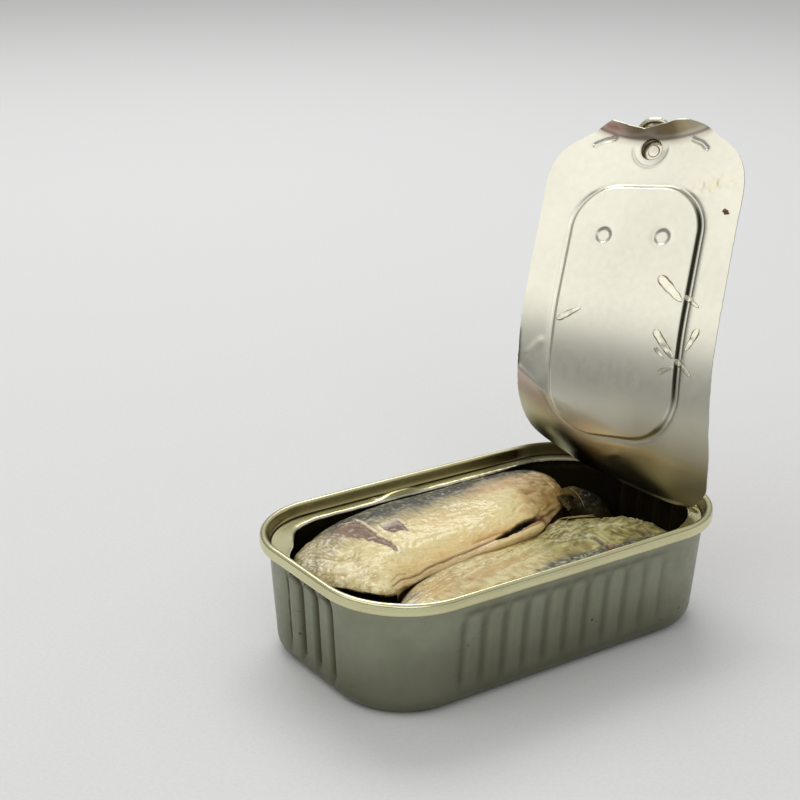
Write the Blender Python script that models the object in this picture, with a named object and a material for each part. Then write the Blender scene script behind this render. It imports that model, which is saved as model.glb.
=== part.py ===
"""Opened easy-open fish tin, quarter-club shape, with its torn lid still on.

Frame: origin at the middle of the base, +X towards the end where the lid is
still joined, -Y the front long side, +Z up.  All lengths below are in
millimetres and are turned into metres when a mesh is made.
"""
import math

import bmesh
import bpy
from mathutils import Matrix, Vector
from mathutils.geometry import tessellate_polygon

MM = 0.001

# ---- the tin ------------------------------------------------------------
SEAM_L, SEAM_W, SEAM_R = 106.0, 62.3, 20.1   # outside of the double seam
HEIGHT = 29.1                                # floor to the crest of the seam
BOW = 0.45                                   # the long sides bow out a little
SEAM_H = 2.8                                 # height of the seam band
OVERHANG = 2.2                               # seam past the wall, each side
WALL = 0.45
BASE_HL, BASE_HW, BASE_R = 49.5, 27.65, 17.3  # half sizes at the foot
BASE_EDGE = 4.5                              # radius round the foot
WALL_TOP = 25.4                              # the wall ends inside the seam
RIB_PITCH, RIB_N, RIB_DEPTH = 5.8, 10, 0.65  # ribs on the long sides
RIB_TOP, RIB_FOOT = 22.9, 4.8
FLUTES, FLUTE_W, FLUTE_DEPTH = (-9.3, -3.1, 3.1, 9.3), 0.6, 0.7
FLUTE_TOP = 21.5

# ---- the end: countersink, ledge and the torn opening -------------------
LEDGE_Z, LEDGE_T = 26.1, 0.4
OPEN_HL, OPEN_HW, OPEN_R = 49.5, 26.1, 19.5
CORNER_CUT = 2.2                             # how far the free corners are cut
TONGUE_X = 45.15                             # metal left between edge and bend

# ---- the lid ------------------------------------------------------------
LID_T = 0.4
LID_START, LID_END = 5.0, 102.0              # along the lid from the opening's end
LID_CLEAR = 0.6                              # narrower here beside the bend
NOTCH_V, NOTCH_DEPTH, NOTCH_HALF = 2.6, 2.3, 9.0
# bends, free end first: start line, skew of the line, angle, length of curve
BENDS = ((96.6, 0.0, -0.56, 1.8), (75.2, 1.344, -0.168, 20.5), (28.3, -0.10, 0.405, 27.0),
         (8.0, -0.39, 0.923, 16.1), (4.0, -0.04, 0.822, 1.6))
BEAD_U0, BEAD_U1, BEAD_HW, BEAD_R = 21.5, 84.4, 17.1, 11.7
BEAD_STEP, BEAD_SLOPE = 1.0, 1.3
RIVET_U, RIVET_R, RIVET_HEAD_R = 94.4, 2.0, 3.0

# ---- the pull ring, lifted off the lid ----------------------------------
TAB_LIFT = math.radians(30.0)
TAB_T = 1.5
TAB_NOSE, TAB_TAIL, TAB_HW = 8.2, 19.0, 9.0
HOLE_A0, HOLE_A1, HOLE_HW = 6.6, 16.6, 6.4
PIVOT_A = -2.9                               # the island stays flat behind this

N_CORNER = 6


# ---- outlines -----------------------------------------------------------
def arc(cx, cy, r, a0, a1, n):
    return [(cx + r * math.cos(a0 + (a1 - a0) * i / n),
             cy + r * math.sin(a0 + (a1 - a0) * i / n)) for i in range(1, n)]


def plan(hl, hw, r, xs, ys, n=N_CORNER, r_far=None, bow=0.0):
    """Rounded rectangle, anticlockwise from the +X side.  xs and ys are the
    stations inside the straight sides, given as the tin's own coordinates."""
    rf = r if r_far is None else r_far
    pts = []
    top = hw - r
    far = hw - rf

    def swell(x):
        return bow * math.cos(max(-1.0, min(1.0, x / hl)) * math.pi / 2)

    pts.append((hl, -top))
    pts += [(hl, y) for y in ys]
    pts.append((hl, top))
    pts += arc(hl - r, hw - r, r, 0, math.pi / 2, n)
    pts.append((hl - r, hw))
    pts += [(x, hw) for x in reversed(xs)]
    pts.append((-hl + rf, hw))
    pts += arc(-hl + rf, hw - rf, rf, math.pi / 2, math.pi, n)
    pts.append((-hl, far))
    pts += [(-hl, y) for y in reversed(ys)]
    pts.append((-hl, -far))
    pts += arc(-hl + rf, -hw + rf, rf, math.pi, 1.5 * math.pi, n)
    pts.append((-hl + rf, -hw))
    pts += [(x, -hw) for x in xs]
    pts.append((hl - r, -hw))
    pts += arc(hl - r, -hw + r, r, 1.5 * math.pi, 2 * math.pi, n)
    return [(x, y + math.copysign(swell(x), y) * (abs(y) / hw) ** 3)
            for x, y in pts]


def spread(lo, hi, n):
    """n - 1 stations that cut lo..hi into n equal parts."""
    return [lo + (hi - lo) * i / n for i in range(1, n)]


# ---- meshes -------------------------------------------------------------
def material(name, colour, metallic, rough):
    mat = bpy.data.materials.new(name)
    mat.use_nodes = True
    node = mat.node_tree.nodes["Principled BSDF"]
    node.inputs["Base Color"].default_value = (*colour, 1.0)
    node.inputs["Metallic"].default_value = metallic
    node.inputs["Roughness"].default_value = rough
    return mat


def place(name, bm, mat, smooth=True):
    bmesh.ops.scale(bm, vec=(MM, MM, MM), verts=bm.verts)
    bmesh.ops.recalc_face_normals(bm, faces=bm.faces)
    mesh = bpy.data.meshes.new(name)
    bm.to_mesh(mesh)
    bm.free()
    if smooth:
        mesh.shade_smooth()
        mesh.set_sharp_from_angle(angle=math.radians(35))
    mesh.materials.append(mat)
    obj = bpy.data.objects.new(name, mesh)
    bpy.context.collection.objects.link(obj)
    return obj


def ring(bm, pts):
    return [bm.verts.new(p) for p in pts]


def bridge(bm, a, b):
    n = len(a)
    for i in range(n):
        j = (i + 1) % n
        bm.faces.new((a[i], a[j], b[j], b[i]))


def ladder(bm, loop, first):
    """Fill a loop with rungs from one side to the other; first is the index of
    the point at the middle of one end."""
    n = len(loop)
    at = [loop[(first + i) % n] for i in range(n)]
    bm.faces.new((at[0], at[1], at[n - 1]))
    for i in range(1, n // 2 - 1):
        bm.faces.new((at[i], at[i + 1], at[n - i - 1], at[n - i]))
    i = n // 2
    bm.faces.new((at[i - 1], at[i], at[i + 1]))


# ---- the body of the tin -------------------------------------------------
def rib_in(x, y, hl, hw, z):
    """How far the wall is pressed in at a point of the outline."""
    depth = 0.0
    half = RIB_PITCH * RIB_N / 2
    if abs(x) <= half + 1e-6 and abs(abs(y) - hw) < 1.2:
        wave = 1.0 - abs(math.sin(math.pi * (x - half) / RIB_PITCH))
        fade = max(0.0, min(1.0, (z - RIB_FOOT) / 3.0, (RIB_TOP - z) / 0.7))
        depth = RIB_DEPTH * wave * fade
    elif abs(abs(x) - hl) < 0.2 and abs(y) < 11.5:
        near = min(abs(y - f) for f in FLUTES)
        fade = max(0.0, min(1.0, (z - RIB_FOOT) / 2.0, (FLUTE_TOP - z) / 0.6))
        depth = FLUTE_DEPTH * max(0.0, 1.0 - near / FLUTE_W) * fade
    return depth


def wall_ring(z, inset, skin):
    """One level of the wall: inset narrows the foot, skin is 0 outside and
    WALL on the inside."""
    t = max(0.0, min(1.0, (z - BASE_EDGE) / (WALL_TOP - BASE_EDGE)))
    hl = BASE_HL + (SEAM_L / 2 - OVERHANG - BASE_HL) * t
    hw = BASE_HW + (SEAM_W / 2 - OVERHANG - BASE_HW) * t
    r = BASE_R + (SEAM_R - OVERHANG - BASE_R) * t
    half = RIB_PITCH * RIB_N / 2
    xs = [-half + RIB_PITCH * i / 3 for i in range(3 * RIB_N + 1)]
    ys = sorted(f + d for f in FLUTES for d in (-FLUTE_W, 0.0, FLUTE_W))
    off = inset + skin
    pts = plan(hl, hw, r, xs, ys, bow=BOW * t)
    out = []
    for x, y in pts:
        d = rib_in(x, y, hl, hw + BOW * t * math.cos(x / hl * math.pi / 2), z)
        # move straight in: along the side, or towards the corner's centre
        cx = max(-(hl - r), min(hl - r, x))
        cy = max(-(hw - r), min(hw - r, y))
        nx, ny = x - cx, y - cy
        length = math.hypot(nx, ny)
        if length < 1e-6:
            out.append((x, y, z))
            continue
        k = (off + d) / length
        out.append((x - nx * k, y - ny * k, z))
    return out


def build_body(mat):
    bm = bmesh.new()
    outer = []
    for deg in (0, 30, 60, 90):
        a = math.radians(deg)
        outer.append((BASE_EDGE * (1 - math.cos(a)), BASE_EDGE * (1 - math.sin(a))))
    outer += [(7.8, 0), (14.0, 0), (FLUTE_TOP - 0.6, 0), (RIB_TOP - 0.7, 0),
              (RIB_TOP, 0), (WALL_TOP, 0)]
    inner = [(WALL_TOP, 0), (RIB_TOP, 0), (RIB_TOP - 0.7, 0), (7.8, 0),
             (BASE_EDGE, 0), (1.9, 1.05), (WALL, BASE_EDGE)]
    levels = [(z, i, 0.0) for z, i in outer] + [(z, i, WALL) for z, i in inner]
    loops = [ring(bm, wall_ring(z, i, s)) for z, i, s in levels]
    for a, b in zip(loops, loops[1:]):
        bridge(bm, a, b)
    bm.faces.new(loops[0])
    bm.faces.new(loops[-1])
    return place("can_body", bm, mat)


# ---- seam, countersink and ledge ----------------------------------------
def build_end(mat):
    bm = bmesh.new()
    xs_f, ys_f = spread(-1, 1, 6), (0.0,)
    profile = ((0.05, HEIGHT - SEAM_H), (0.0, HEIGHT - 1.1), (0.25, HEIGHT - 0.35),
               (0.9, HEIGHT), (1.5, HEIGHT - 0.3), (1.8, HEIGHT - 1.0),
               (2.0, LEDGE_Z + 0.7), (2.5, LEDGE_Z))
    under = ((2.2, LEDGE_Z - LEDGE_T), (1.7, HEIGHT - SEAM_H))

    def seam_ring(d, z):
        hl, hw, r = SEAM_L / 2 - d, SEAM_W / 2 - d, SEAM_R - d
        xs = [f * (hl - r) for f in xs_f]
        return ring(bm, [(x, y, z) for x, y in
                         plan(hl, hw, r, xs, ys_f, n=7, bow=BOW)])

    def open_ring(z):
        xs = [f * (OPEN_HL - OPEN_R) for f in xs_f]
        pts = plan(OPEN_HL, OPEN_HW, OPEN_R, xs, ys_f, n=7)
        return ring(bm, [(*torn(x, y), z) for x, y in pts])

    def torn(x, y):
        """The edge where the lid tore out: flatter across the two free
        corners, and straight along the bend at the other end."""
        cx, cy = -(OPEN_HL - OPEN_R), math.copysign(OPEN_HW - OPEN_R, y)
        if x < cx and abs(y) > abs(cy):
            a = math.degrees(math.atan2(abs(y - cy), cx - x))
            k = 1.0 - CORNER_CUT / OPEN_R * math.exp(-((a - 35.0) / 20.0) ** 2)
            x, y = cx + (x - cx) * k, cy + (y - cy) * k
        return (min(x, TONGUE_X), y)

    loops = [seam_ring(d, z) for d, z in profile]
    loops.append(open_ring(LEDGE_Z))
    loops.append(open_ring(LEDGE_Z - LEDGE_T))
    loops += [seam_ring(d, z) for d, z in under]
    for a, b in zip(loops, loops[1:] + loops[:1]):
        bridge(bm, a, b)
    return place("end_ring", bm, mat)


# ---- the lid: a flat pattern carried through its bends ------------------
def bend(p, start, skew, angle, length):
    u, v, n = p
    c, s = math.cos(skew), math.sin(skew)
    along = c * (u - start) + s * v
    across = -s * (u - start) + c * v
    k = angle / length
    if along <= 0.0:
        a2, n2 = along, n
    else:
        phi = k * min(along, length)
        rest = max(along - length, 0.0)
        a2 = math.sin(phi) / k - n * math.sin(phi) + rest * math.cos(phi)
        n2 = (1 - math.cos(phi)) / k + n * math.cos(phi) + rest * math.sin(phi)
    return (start + c * a2 - s * across, s * a2 + c * across, n2)


def lid_point(u, v, n):
    """u from the opening's end along the lid, v across, n out of its outer
    face; n = 0 is the middle of the sheet."""
    p = (u, v, n)
    for b in BENDS:
        p = bend(p, *b)
    return Vector((OPEN_HL - p[0], p[1], LEDGE_Z + p[2]))


def lid_axes(u, v):
    o = lid_point(u, v, 0)
    au = (lid_point(u + 0.5, v, 0) - lid_point(u - 0.5, v, 0)).normalized()
    n = (lid_point(u, v, 1) - o).normalized()
    av = n.cross(au).normalized()
    return o, au, av, n


def build_lid(mat):
    bm = bmesh.new()
    half = (LID_END) / 2
    xs_f, ys_f = spread(-1, 1, 6), (0.0,)

    def pattern(hl, hw, r, mid, r_far=None):
        rf = r if r_far is None else r_far
        xs = [-(hl - rf) + ((hl - r) + (hl - rf)) * (f + 1) / 2 for f in xs_f]
        return [(mid - x, y) for x, y in
                plan(hl, hw, r, xs, ys_f, n=7, r_far=r_far)]

    def edge(u, v):
        if u < half:
            pull = LID_CLEAR * (1.0 - smooth((u - 12.0) / 14.0))
            return (max(u, LID_START), v - math.copysign(min(pull, abs(v)), v))
        w = max(0.0, 1.0 - abs(v - NOTCH_V) / NOTCH_HALF)
        return (min(u, LID_END - NOTCH_DEPTH * w), v)

    outline = [edge(u, v) for u, v in pattern(half, OPEN_HW, OPEN_R, half)]
    mid = (BEAD_U0 + BEAD_U1) / 2
    blen = (BEAD_U1 - BEAD_U0) / 2

    def bead(d):
        return pattern(blen - d, BEAD_HW - d, max(BEAD_R - d, 0.3), mid)

    outer_bead, inner_bead = bead(-BEAD_SLOPE / 2), bead(BEAD_SLOPE / 2)
    flat = [(outline, 0.0)]
    for t in (0.28, 0.55, 0.8):
        flat.append(([(a[0] + (b[0] - a[0]) * t, a[1] + (b[1] - a[1]) * t)
                      for a, b in zip(outline, outer_bead)], 0.0))
    flat.append((outer_bead, 0.0))
    flat.append((inner_bead, -BEAD_STEP))
    for d in (5.0, 9.5, 14.0, BEAD_HW - 0.6):
        flat.append((bead(d), -BEAD_STEP))

    def skin(n0):
        loops = [ring(bm, [lid_point(u, v, n + n0) for u, v in pts])
                 for pts, n in flat]
        for a, b in zip(loops, loops[1:]):
            bridge(bm, a, b)
        ladder(bm, loops[-1], 1)
        return loops[0]

    bridge(bm, skin(LID_T / 2), skin(-LID_T / 2))
    lid = place("lid", bm, mat)

    # the rivet is drawn out of the lid's own metal on its outer face
    cut = bmesh.new()
    prof = ((RIVET_R, -0.1), (RIVET_R, 1.05), (RIVET_HEAD_R, 1.1),
            (RIVET_HEAD_R, 1.4), (2.3, 1.7))
    o, au, av, n = lid_axes(RIVET_U, 0.0)
    loops = []
    for r, h in prof:
        loops.append(ring(cut, [o + au * (r * math.cos(a)) + av * (r * math.sin(a))
                                + n * h for a in
                                [2 * math.pi * i / 14 for i in range(14)]]))
    for a, b in zip(loops, loops[1:]):
        bridge(cut, a, b)
    cut.faces.new(loops[0])
    cut.faces.new(loops[-1])
    rivet = place("rivet_guide", cut, mat)
    rivet.hide_render = True
    rivet.display_type = "WIRE"
    rivet.hide_set(True)
    mod = lid.modifiers.new("rivet", "BOOLEAN")
    mod.operation, mod.solver, mod.object = "UNION", "EXACT", rivet
    return lid


# ---- pull ring -----------------------------------------------------------
def prism(loops, to_world, t0, t1):
    """A plate with holes.  loops are outlines, the first one outermost."""
    bm = bmesh.new()
    polys = [[Vector((a, b, 0)) for a, b in lp] for lp in loops]
    tris = tessellate_polygon(polys)
    low = [bm.verts.new(to_world(a, b, t0)) for lp in loops for a, b in lp]
    high = [bm.verts.new(to_world(a, b, t1)) for lp in loops for a, b in lp]
    for i, j, k in tris:
        bm.faces.new((high[i], high[j], high[k]))
        bm.faces.new((low[k], low[j], low[i]))
    start = 0
    for lp in loops:
        n = len(lp)
        for i in range(n):
            p, q = start + i, start + (i + 1) % n
            bm.faces.new((low[p], low[q], high[q], high[p]))
        start += n
    return bm


def oval(a0, a1, hw, n, power=2.6, taper=0.0):
    """Superellipse from a0 to a1, narrower by taper at the a0 end."""
    mid, half = (a0 + a1) / 2, (a1 - a0) / 2
    out = []
    for i in range(n):
        w = 2 * math.pi * i / n
        c, s = math.cos(w), math.sin(w)
        x = math.copysign(abs(c) ** (2 / power), c)
        y = math.copysign(abs(s) ** (2 / power), s)
        out.append((mid + half * x, hw * y * (1 - taper * (1 - x) / 2)))
    return out


def build_tab(mat):
    """a runs from the rivet towards the ring's end, b across, t out."""
    o, au, av, n = lid_axes(RIVET_U, 0.0)
    down = -au
    base = o + n * (LID_T / 2 + 0.3)
    lifted = down * math.cos(TAB_LIFT) + n * math.sin(TAB_LIFT)
    out = n * math.cos(TAB_LIFT) - down * math.sin(TAB_LIFT)
    pivot = base + down * PIVOT_A

    def plate(a, b, t):
        return pivot + lifted * (a - PIVOT_A) + av * b + out * t

    def island(a, b, t):
        return base + down * a + av * b + n * t

    body = prism([oval(-TAB_NOSE, TAB_TAIL, TAB_HW, 36, 2.5, 0.28),
                  oval(PIVOT_A, 4.9, 4.6, 16, 3.5),
                  oval(HOLE_A0, HOLE_A1, HOLE_HW, 20, 2.3)], plate, 0.0, TAB_T)
    tab = place("pull_ring", body, mat)
    isle = prism([oval(PIVOT_A - 1.6, 3.6, 3.5, 16, 3.0),
                  [(2.3 * math.cos(2 * math.pi * i / 14),
                    2.3 * math.sin(2 * math.pi * i / 14)) for i in range(14)]],
                 island, 0.0, 0.45)
    guide = place("island_guide", isle, mat)
    guide.hide_render = True
    guide.display_type = "WIRE"
    guide.hide_set(True)
    mod = tab.modifiers.new("island", "BOOLEAN")
    mod.operation, mod.solver, mod.object = "UNION", "EXACT", guide
    return tab


# ---- fish ----------------------------------------------------------------
FLOOR_Z = 1.2                                # underside of the fish


def smooth(t):
    t = max(0.0, min(1.0, t))
    return t * t * (3 - 2 * t)


def seam_y(x):
    """Line in plan where the big fish lies against the front one."""
    return 0.9 + 0.215 * x


def section(cx, cz, hw_low, hw_high, hz_up, hz_down, powers, w):
    """A point of a closed curve made of four superellipse quarters.  powers
    are for the quarters high side up, low side up, low down, high down."""
    c, s = math.cos(w), math.sin(w)
    if s >= 0:
        p = powers[0] if c >= 0 else powers[1]
    else:
        p = powers[3] if c >= 0 else powers[2]
    y = math.copysign(abs(c) ** (2 / p), c) * (hw_high if c >= 0 else hw_low)
    z = math.copysign(abs(s) ** (2 / p), s) * (hz_up if s >= 0 else hz_down)
    return cx + y, cz + z


def dome(x, x0, x1, r0, r1, least):
    """1 along the middle, rounding down to least at either end."""
    f = 1.0
    if x < x0 + r0:
        t = 1 - (x - x0) / r0
        f = math.sqrt(max(0.0, 1 - t * t))
    if x > x1 - r1:
        t = 1 - (x1 - x) / r1
        f = min(f, math.sqrt(max(0.0, 1 - t * t)))
    return least + (1 - least) * f


class Fish:
    """low(x) and high(x) bound it in plan, mid(x) is its crest line, top(x)
    the crest's height, ends(x) rounds it off and skew(x, dy) slants the end."""

    def __init__(self, x0, x1, low, high, mid, top, waist, ends, powers, skew):
        self.x0, self.x1 = x0, x1
        self.low, self.high, self.mid, self.top = low, high, mid, top
        self.waist, self.ends, self.powers, self.skew = waist, ends, powers, skew

    def point(self, s, w):
        x = self.x0 + (self.x1 - self.x0) * (0.5 - 0.5 * math.cos(math.pi * s))
        k = self.ends(x)
        mid = self.mid(x)
        zc = self.waist
        y, z = section(mid, zc, (mid - self.low(x)) * k, (self.high(x) - mid) * k,
                       (self.top(x) - zc) * (0.25 + 0.75 * k),
                       (zc - FLOOR_Z) * (0.45 + 0.55 * k), self.powers, w)
        return (x + self.skew(x, y - mid), y, z)

    def build(self, name, mat, along, around):
        bm = bmesh.new()
        loops = [ring(bm, [self.point(i / along, 2 * math.pi * (k + 0.5) / around)
                           for k in range(around)]) for i in range(along + 1)]
        for a, b in zip(loops, loops[1:]):
            bridge(bm, a, b)
        bm.faces.new(loops[0])
        bm.faces.new(loops[-1])
        return place(name, bm, mat)


def fish_shapes():
    # the big one along the back, its cut end at the free end of the tin
    def low_1(x):
        return (seam_y(x) - 0.3 + 5.0 * smooth((x - 20) / 15)
                - 1.5 * smooth((-28 - x) / 12))

    def high_1(x):
        return 26.7 - 9.6 * smooth((-24 - x) / 22) - 2.0 * smooth((x - 26) / 12)

    def mid_1(x):
        return 0.42 * low_1(x) + 0.58 * high_1(x)

    def top_1(x):
        return 26.7 - 2.2 * smooth((-12 - x) / 28) - 0.5 * smooth((x - 22) / 14)

    one = Fish(-47.6, 36.6, low_1, high_1, mid_1, top_1, 13.6,
               lambda x: dome(x, -47.6, 36.6, 6.0, 9.0, 0.30),
               (5.0, 2.6, 3.0, 3.0),
               lambda x, dy: -0.42 * min(dy, 0.0) * smooth((-22 - x) / 20))

    # the one along the front, a little lower
    def low_2(x):
        return -26.7 + 8.0 * smooth((-24 - x) / 16) + 4.5 * smooth((x - 34) / 12)

    def high_2(x):
        return (seam_y(x) - 0.75 - 6.5 * smooth((x - 24) / 22)
                - 3.0 * smooth((-14 - x) / 16))

    def mid_2(x):
        return 0.5 * (low_2(x) + high_2(x))

    def top_2(x):
        return 20.2 + 0.6 * smooth((x + 10) / 40) - 0.6 * smooth((x - 34) / 10)

    two = Fish(-36.5, 45.0, low_2, high_2, mid_2, top_2, 12.4,
               lambda x: dome(x, -36.5, 45.0, 7.0, 7.0, 0.25),
               (4.2, 2.5, 3.0, 3.0), lambda x, dy: 0.0)

    # the tail end of another, low down behind the two
    three = Fish(38.2, 46.9, lambda x: 4.6,
                 lambda x: 20.2 - 2.8 * smooth((x - 40) / 7),
                 lambda x: 12.2, lambda x: 21.0 - 1.5 * smooth((x - 41) / 6), 10.5,
                 lambda x: dome(x, 38.2, 46.9, 3.5, 4.2, 0.35),
                 (2.6, 2.6, 2.4, 2.4), lambda x, dy: 0.0)
    return one, two, three


def build_fish(mat_a, mat_b, mat_c):
    one, two, three = fish_shapes()
    one.build("fish_1", mat_a, 18, 22)
    two.build("fish_2", mat_b, 16, 20)
    three.build("fish_3", mat_c, 7, 16)


def main():
    for obj in list(bpy.data.objects):
        bpy.data.objects.remove(obj, do_unlink=True)
    body = material("tin_body", (0.35, 0.35, 0.30), 1.0, 0.45)
    rim = material("tin_end", (0.66, 0.62, 0.42), 1.0, 0.28)
    lid = material("tin_lid", (0.74, 0.71, 0.63), 1.0, 0.30)
    tab = material("pull_ring_steel", (0.72, 0.71, 0.68), 1.0, 0.25)
    pale = material("fish_side", (0.74, 0.63, 0.42), 0.0, 0.35)
    olive = material("fish_flank", (0.56, 0.46, 0.27), 0.0, 0.35)
    dark = material("fish_back", (0.13, 0.11, 0.06), 0.0, 0.40)
    build_body(body)
    build_end(rim)
    build_lid(lid)
    build_tab(tab)
    build_fish(pale, olive, dark)


main()
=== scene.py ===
import math

import bpy
import numpy as np
from mathutils import Matrix, Vector
from mathutils.geometry import delaunay_2d_cdt


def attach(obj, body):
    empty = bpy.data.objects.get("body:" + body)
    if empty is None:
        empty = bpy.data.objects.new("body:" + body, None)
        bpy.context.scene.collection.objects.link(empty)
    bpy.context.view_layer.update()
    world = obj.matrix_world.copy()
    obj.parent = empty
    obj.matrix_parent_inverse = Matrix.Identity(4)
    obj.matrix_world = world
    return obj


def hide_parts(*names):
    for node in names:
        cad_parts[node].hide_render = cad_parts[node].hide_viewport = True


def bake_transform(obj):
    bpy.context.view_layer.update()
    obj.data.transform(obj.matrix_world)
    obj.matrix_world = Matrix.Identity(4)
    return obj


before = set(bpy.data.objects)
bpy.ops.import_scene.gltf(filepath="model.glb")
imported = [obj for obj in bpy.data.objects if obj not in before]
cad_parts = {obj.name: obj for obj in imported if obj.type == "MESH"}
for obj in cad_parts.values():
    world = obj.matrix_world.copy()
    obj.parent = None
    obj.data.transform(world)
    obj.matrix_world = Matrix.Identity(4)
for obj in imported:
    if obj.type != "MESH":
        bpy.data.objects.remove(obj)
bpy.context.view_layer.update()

# Lengths below are in millimetres in the part's frame and become metres when a
# mesh is made.  The numbers of the tin and of the lid's bends are the CAD's.
MM = 0.001

SEAM_L, SEAM_W, SEAM_R = 106.0, 62.3, 20.1
HEIGHT, BOW, OVERHANG, WALL = 29.1, 0.45, 2.2, 0.45
BASE_HL, BASE_HW, BASE_R, BASE_EDGE = 49.5, 27.65, 17.3, 4.5
WALL_TOP, RIB_PITCH, RIB_N = 25.4, 5.8, 10
LEDGE_Z = 26.1
OPEN_HL, OPEN_HW, OPEN_R = 49.5, 26.1, 19.5
BENDS = ((75.2, 1.344, -0.168, 20.5), (28.3, -0.10, 0.405, 27.0),
         (8.0, -0.39, 0.923, 16.1), (4.0, -0.04, 0.822, 1.6))
LID_END, LIP_U, LIP_ANGLE, LIP_LEN = 103.0, 96.8, 0.95, 2.7
BEAD_U0, BEAD_U1, BEAD_HW, BEAD_R = 21.5, 84.4, 17.1, 11.7
RIVET_U = 94.4


# ---- small numeric helpers ----------------------------------------------
def smooth(t):
    t = np.clip(t, 0.0, 1.0)
    return t * t * (3 - 2 * t)


def mixv(a, b, t):
    return a + (b - a) * t


def _cell(ix, iy, iz, seed):
    h = (ix * 73856093) ^ (iy * 19349663) ^ (iz * 83492791) ^ (seed * 7919 + 12345)
    h = h & 0xFFFFFFFF
    h = ((h ^ (h >> 13)) * 1274126177) & 0xFFFFFFFF
    h = ((h ^ (h >> 15)) * 668265263) & 0xFFFFFFFF
    return (h ^ (h >> 16)) / 4294967295.0


def noise(p, size, seed=0):
    """Smooth value noise in -1..1; size is a cell in mm, one number or three."""
    q = np.asarray(p, float) / np.asarray(size, float)
    i = np.floor(q).astype(np.int64)
    f = q - i
    f = f * f * (3 - 2 * f)
    x, y, z = i[..., 0], i[..., 1], i[..., 2]
    out = 0.0
    for dx in (0, 1):
        wx = f[..., 0] if dx else 1 - f[..., 0]
        for dy in (0, 1):
            wy = f[..., 1] if dy else 1 - f[..., 1]
            for dz in (0, 1):
                wz = f[..., 2] if dz else 1 - f[..., 2]
                out = out + wx * wy * wz * _cell(x + dx, y + dy, z + dz, seed)
    return out * 2 - 1


def fbm(p, size, octaves=4, seed=0, gain=0.5):
    total, amp, norm = 0.0, 1.0, 0.0
    size = np.asarray(size, float)
    for k in range(octaves):
        total = total + amp * noise(p, size / 2 ** k, seed + 17 * k)
        norm += amp
        amp *= gain
    return total / norm


def curve(x, pts):
    """A smooth line through (x, value) points."""
    px = np.array([p[0] for p in pts], float)
    py = np.array([p[1] for p in pts], float)
    m = np.gradient(py, px)
    x = np.clip(np.asarray(x, float), px[0], px[-1])
    i = np.clip(np.searchsorted(px, x) - 1, 0, len(px) - 2)
    h = px[i + 1] - px[i]
    t = (x - px[i]) / h
    t2, t3 = t * t, t * t * t
    return ((2 * t3 - 3 * t2 + 1) * py[i] + (t3 - 2 * t2 + t) * h * m[i]
            + (-2 * t3 + 3 * t2) * py[i + 1] + (t3 - t2) * h * m[i + 1])


def poly_sdf(x, y, pts):
    """Signed distance to a closed outline, negative inside."""
    x, y = np.asarray(x, float), np.asarray(y, float)
    best = np.full(x.shape, 1e9)
    inside = np.zeros(x.shape, bool)
    n = len(pts)
    for k in range(n):
        ax, ay = pts[k]
        bx, by = pts[(k + 1) % n]
        ex, ey = bx - ax, by - ay
        t = np.clip(((x - ax) * ex + (y - ay) * ey) / (ex * ex + ey * ey + 1e-12), 0, 1)
        best = np.minimum(best, np.hypot(x - ax - t * ex, y - ay - t * ey))
        cross = (ay > y) != (by > y)
        with np.errstate(divide="ignore", invalid="ignore"):
            at = (bx - ax) * (y - ay) / (by - ay + 1e-12) + ax
        inside ^= cross & (x < at)
    return np.where(inside, -best, best)


def line_dist(x, y, pts):
    """Distance to an open line and how far along it the nearest point is, 0..1."""
    x, y = np.asarray(x, float), np.asarray(y, float)
    seg = [math.dist(a, b) for a, b in zip(pts, pts[1:])]
    total, run = sum(seg), 0.0
    best, at = np.full(x.shape, 1e9), np.zeros(x.shape)
    for (a, b), length in zip(zip(pts, pts[1:]), seg):
        ex, ey = b[0] - a[0], b[1] - a[1]
        t = np.clip(((x - a[0]) * ex + (y - a[1]) * ey) / (length * length), 0, 1)
        d = np.hypot(x - a[0] - t * ex, y - a[1] - t * ey)
        near = d < best
        best = np.where(near, d, best)
        at = np.where(near, (run + t * length) / total, at)
        run += length
    return best, at


# ---- meshes --------------------------------------------------------------
def make(name, verts, faces, mats, body, node=None, index=None,
         values=None, colours=None, sharp=None):
    verts = np.asarray(verts, float).reshape(-1, 3) * MM
    mesh = bpy.data.meshes.new(name)
    mesh.from_pydata(verts.tolist(), [], [tuple(int(i) for i in f) for f in faces])
    for m in mats:
        mesh.materials.append(m)
    if index is not None:
        mesh.polygons.foreach_set("material_index", np.asarray(index, np.int32))
    for key, v in (values or {}).items():
        a = mesh.attributes.new(key, "FLOAT", "POINT")
        a.data.foreach_set("value", np.asarray(v, np.float32).ravel())
    for key, v in (colours or {}).items():
        a = mesh.attributes.new(key, "FLOAT_COLOR", "POINT")
        c = np.ones((len(verts), 4), np.float32)
        c[:, :3] = np.asarray(v, np.float32).reshape(-1, 3)
        a.data.foreach_set("color", c.ravel())
    mesh.shade_smooth()
    if sharp:
        mesh.set_sharp_from_angle(angle=math.radians(sharp))
    mesh.update()
    obj = bpy.data.objects.new(name, mesh)
    bpy.context.scene.collection.objects.link(obj)
    if body:
        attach(obj, body)
    if node:
        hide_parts(node)
    return obj


def ring_faces(rows, cols, closed_rows=False, start=0, flip=False):
    """Quads between rows of a tube; each row is a closed ring of cols points."""
    out = []
    last = rows if closed_rows else rows - 1
    for i in range(last):
        a, b = start + i * cols, start + ((i + 1) % rows) * cols
        for k in range(cols):
            j = (k + 1) % cols
            f = (a + k, a + j, b + j, b + k)
            out.append(f[::-1] if flip else f)
    return out


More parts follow.
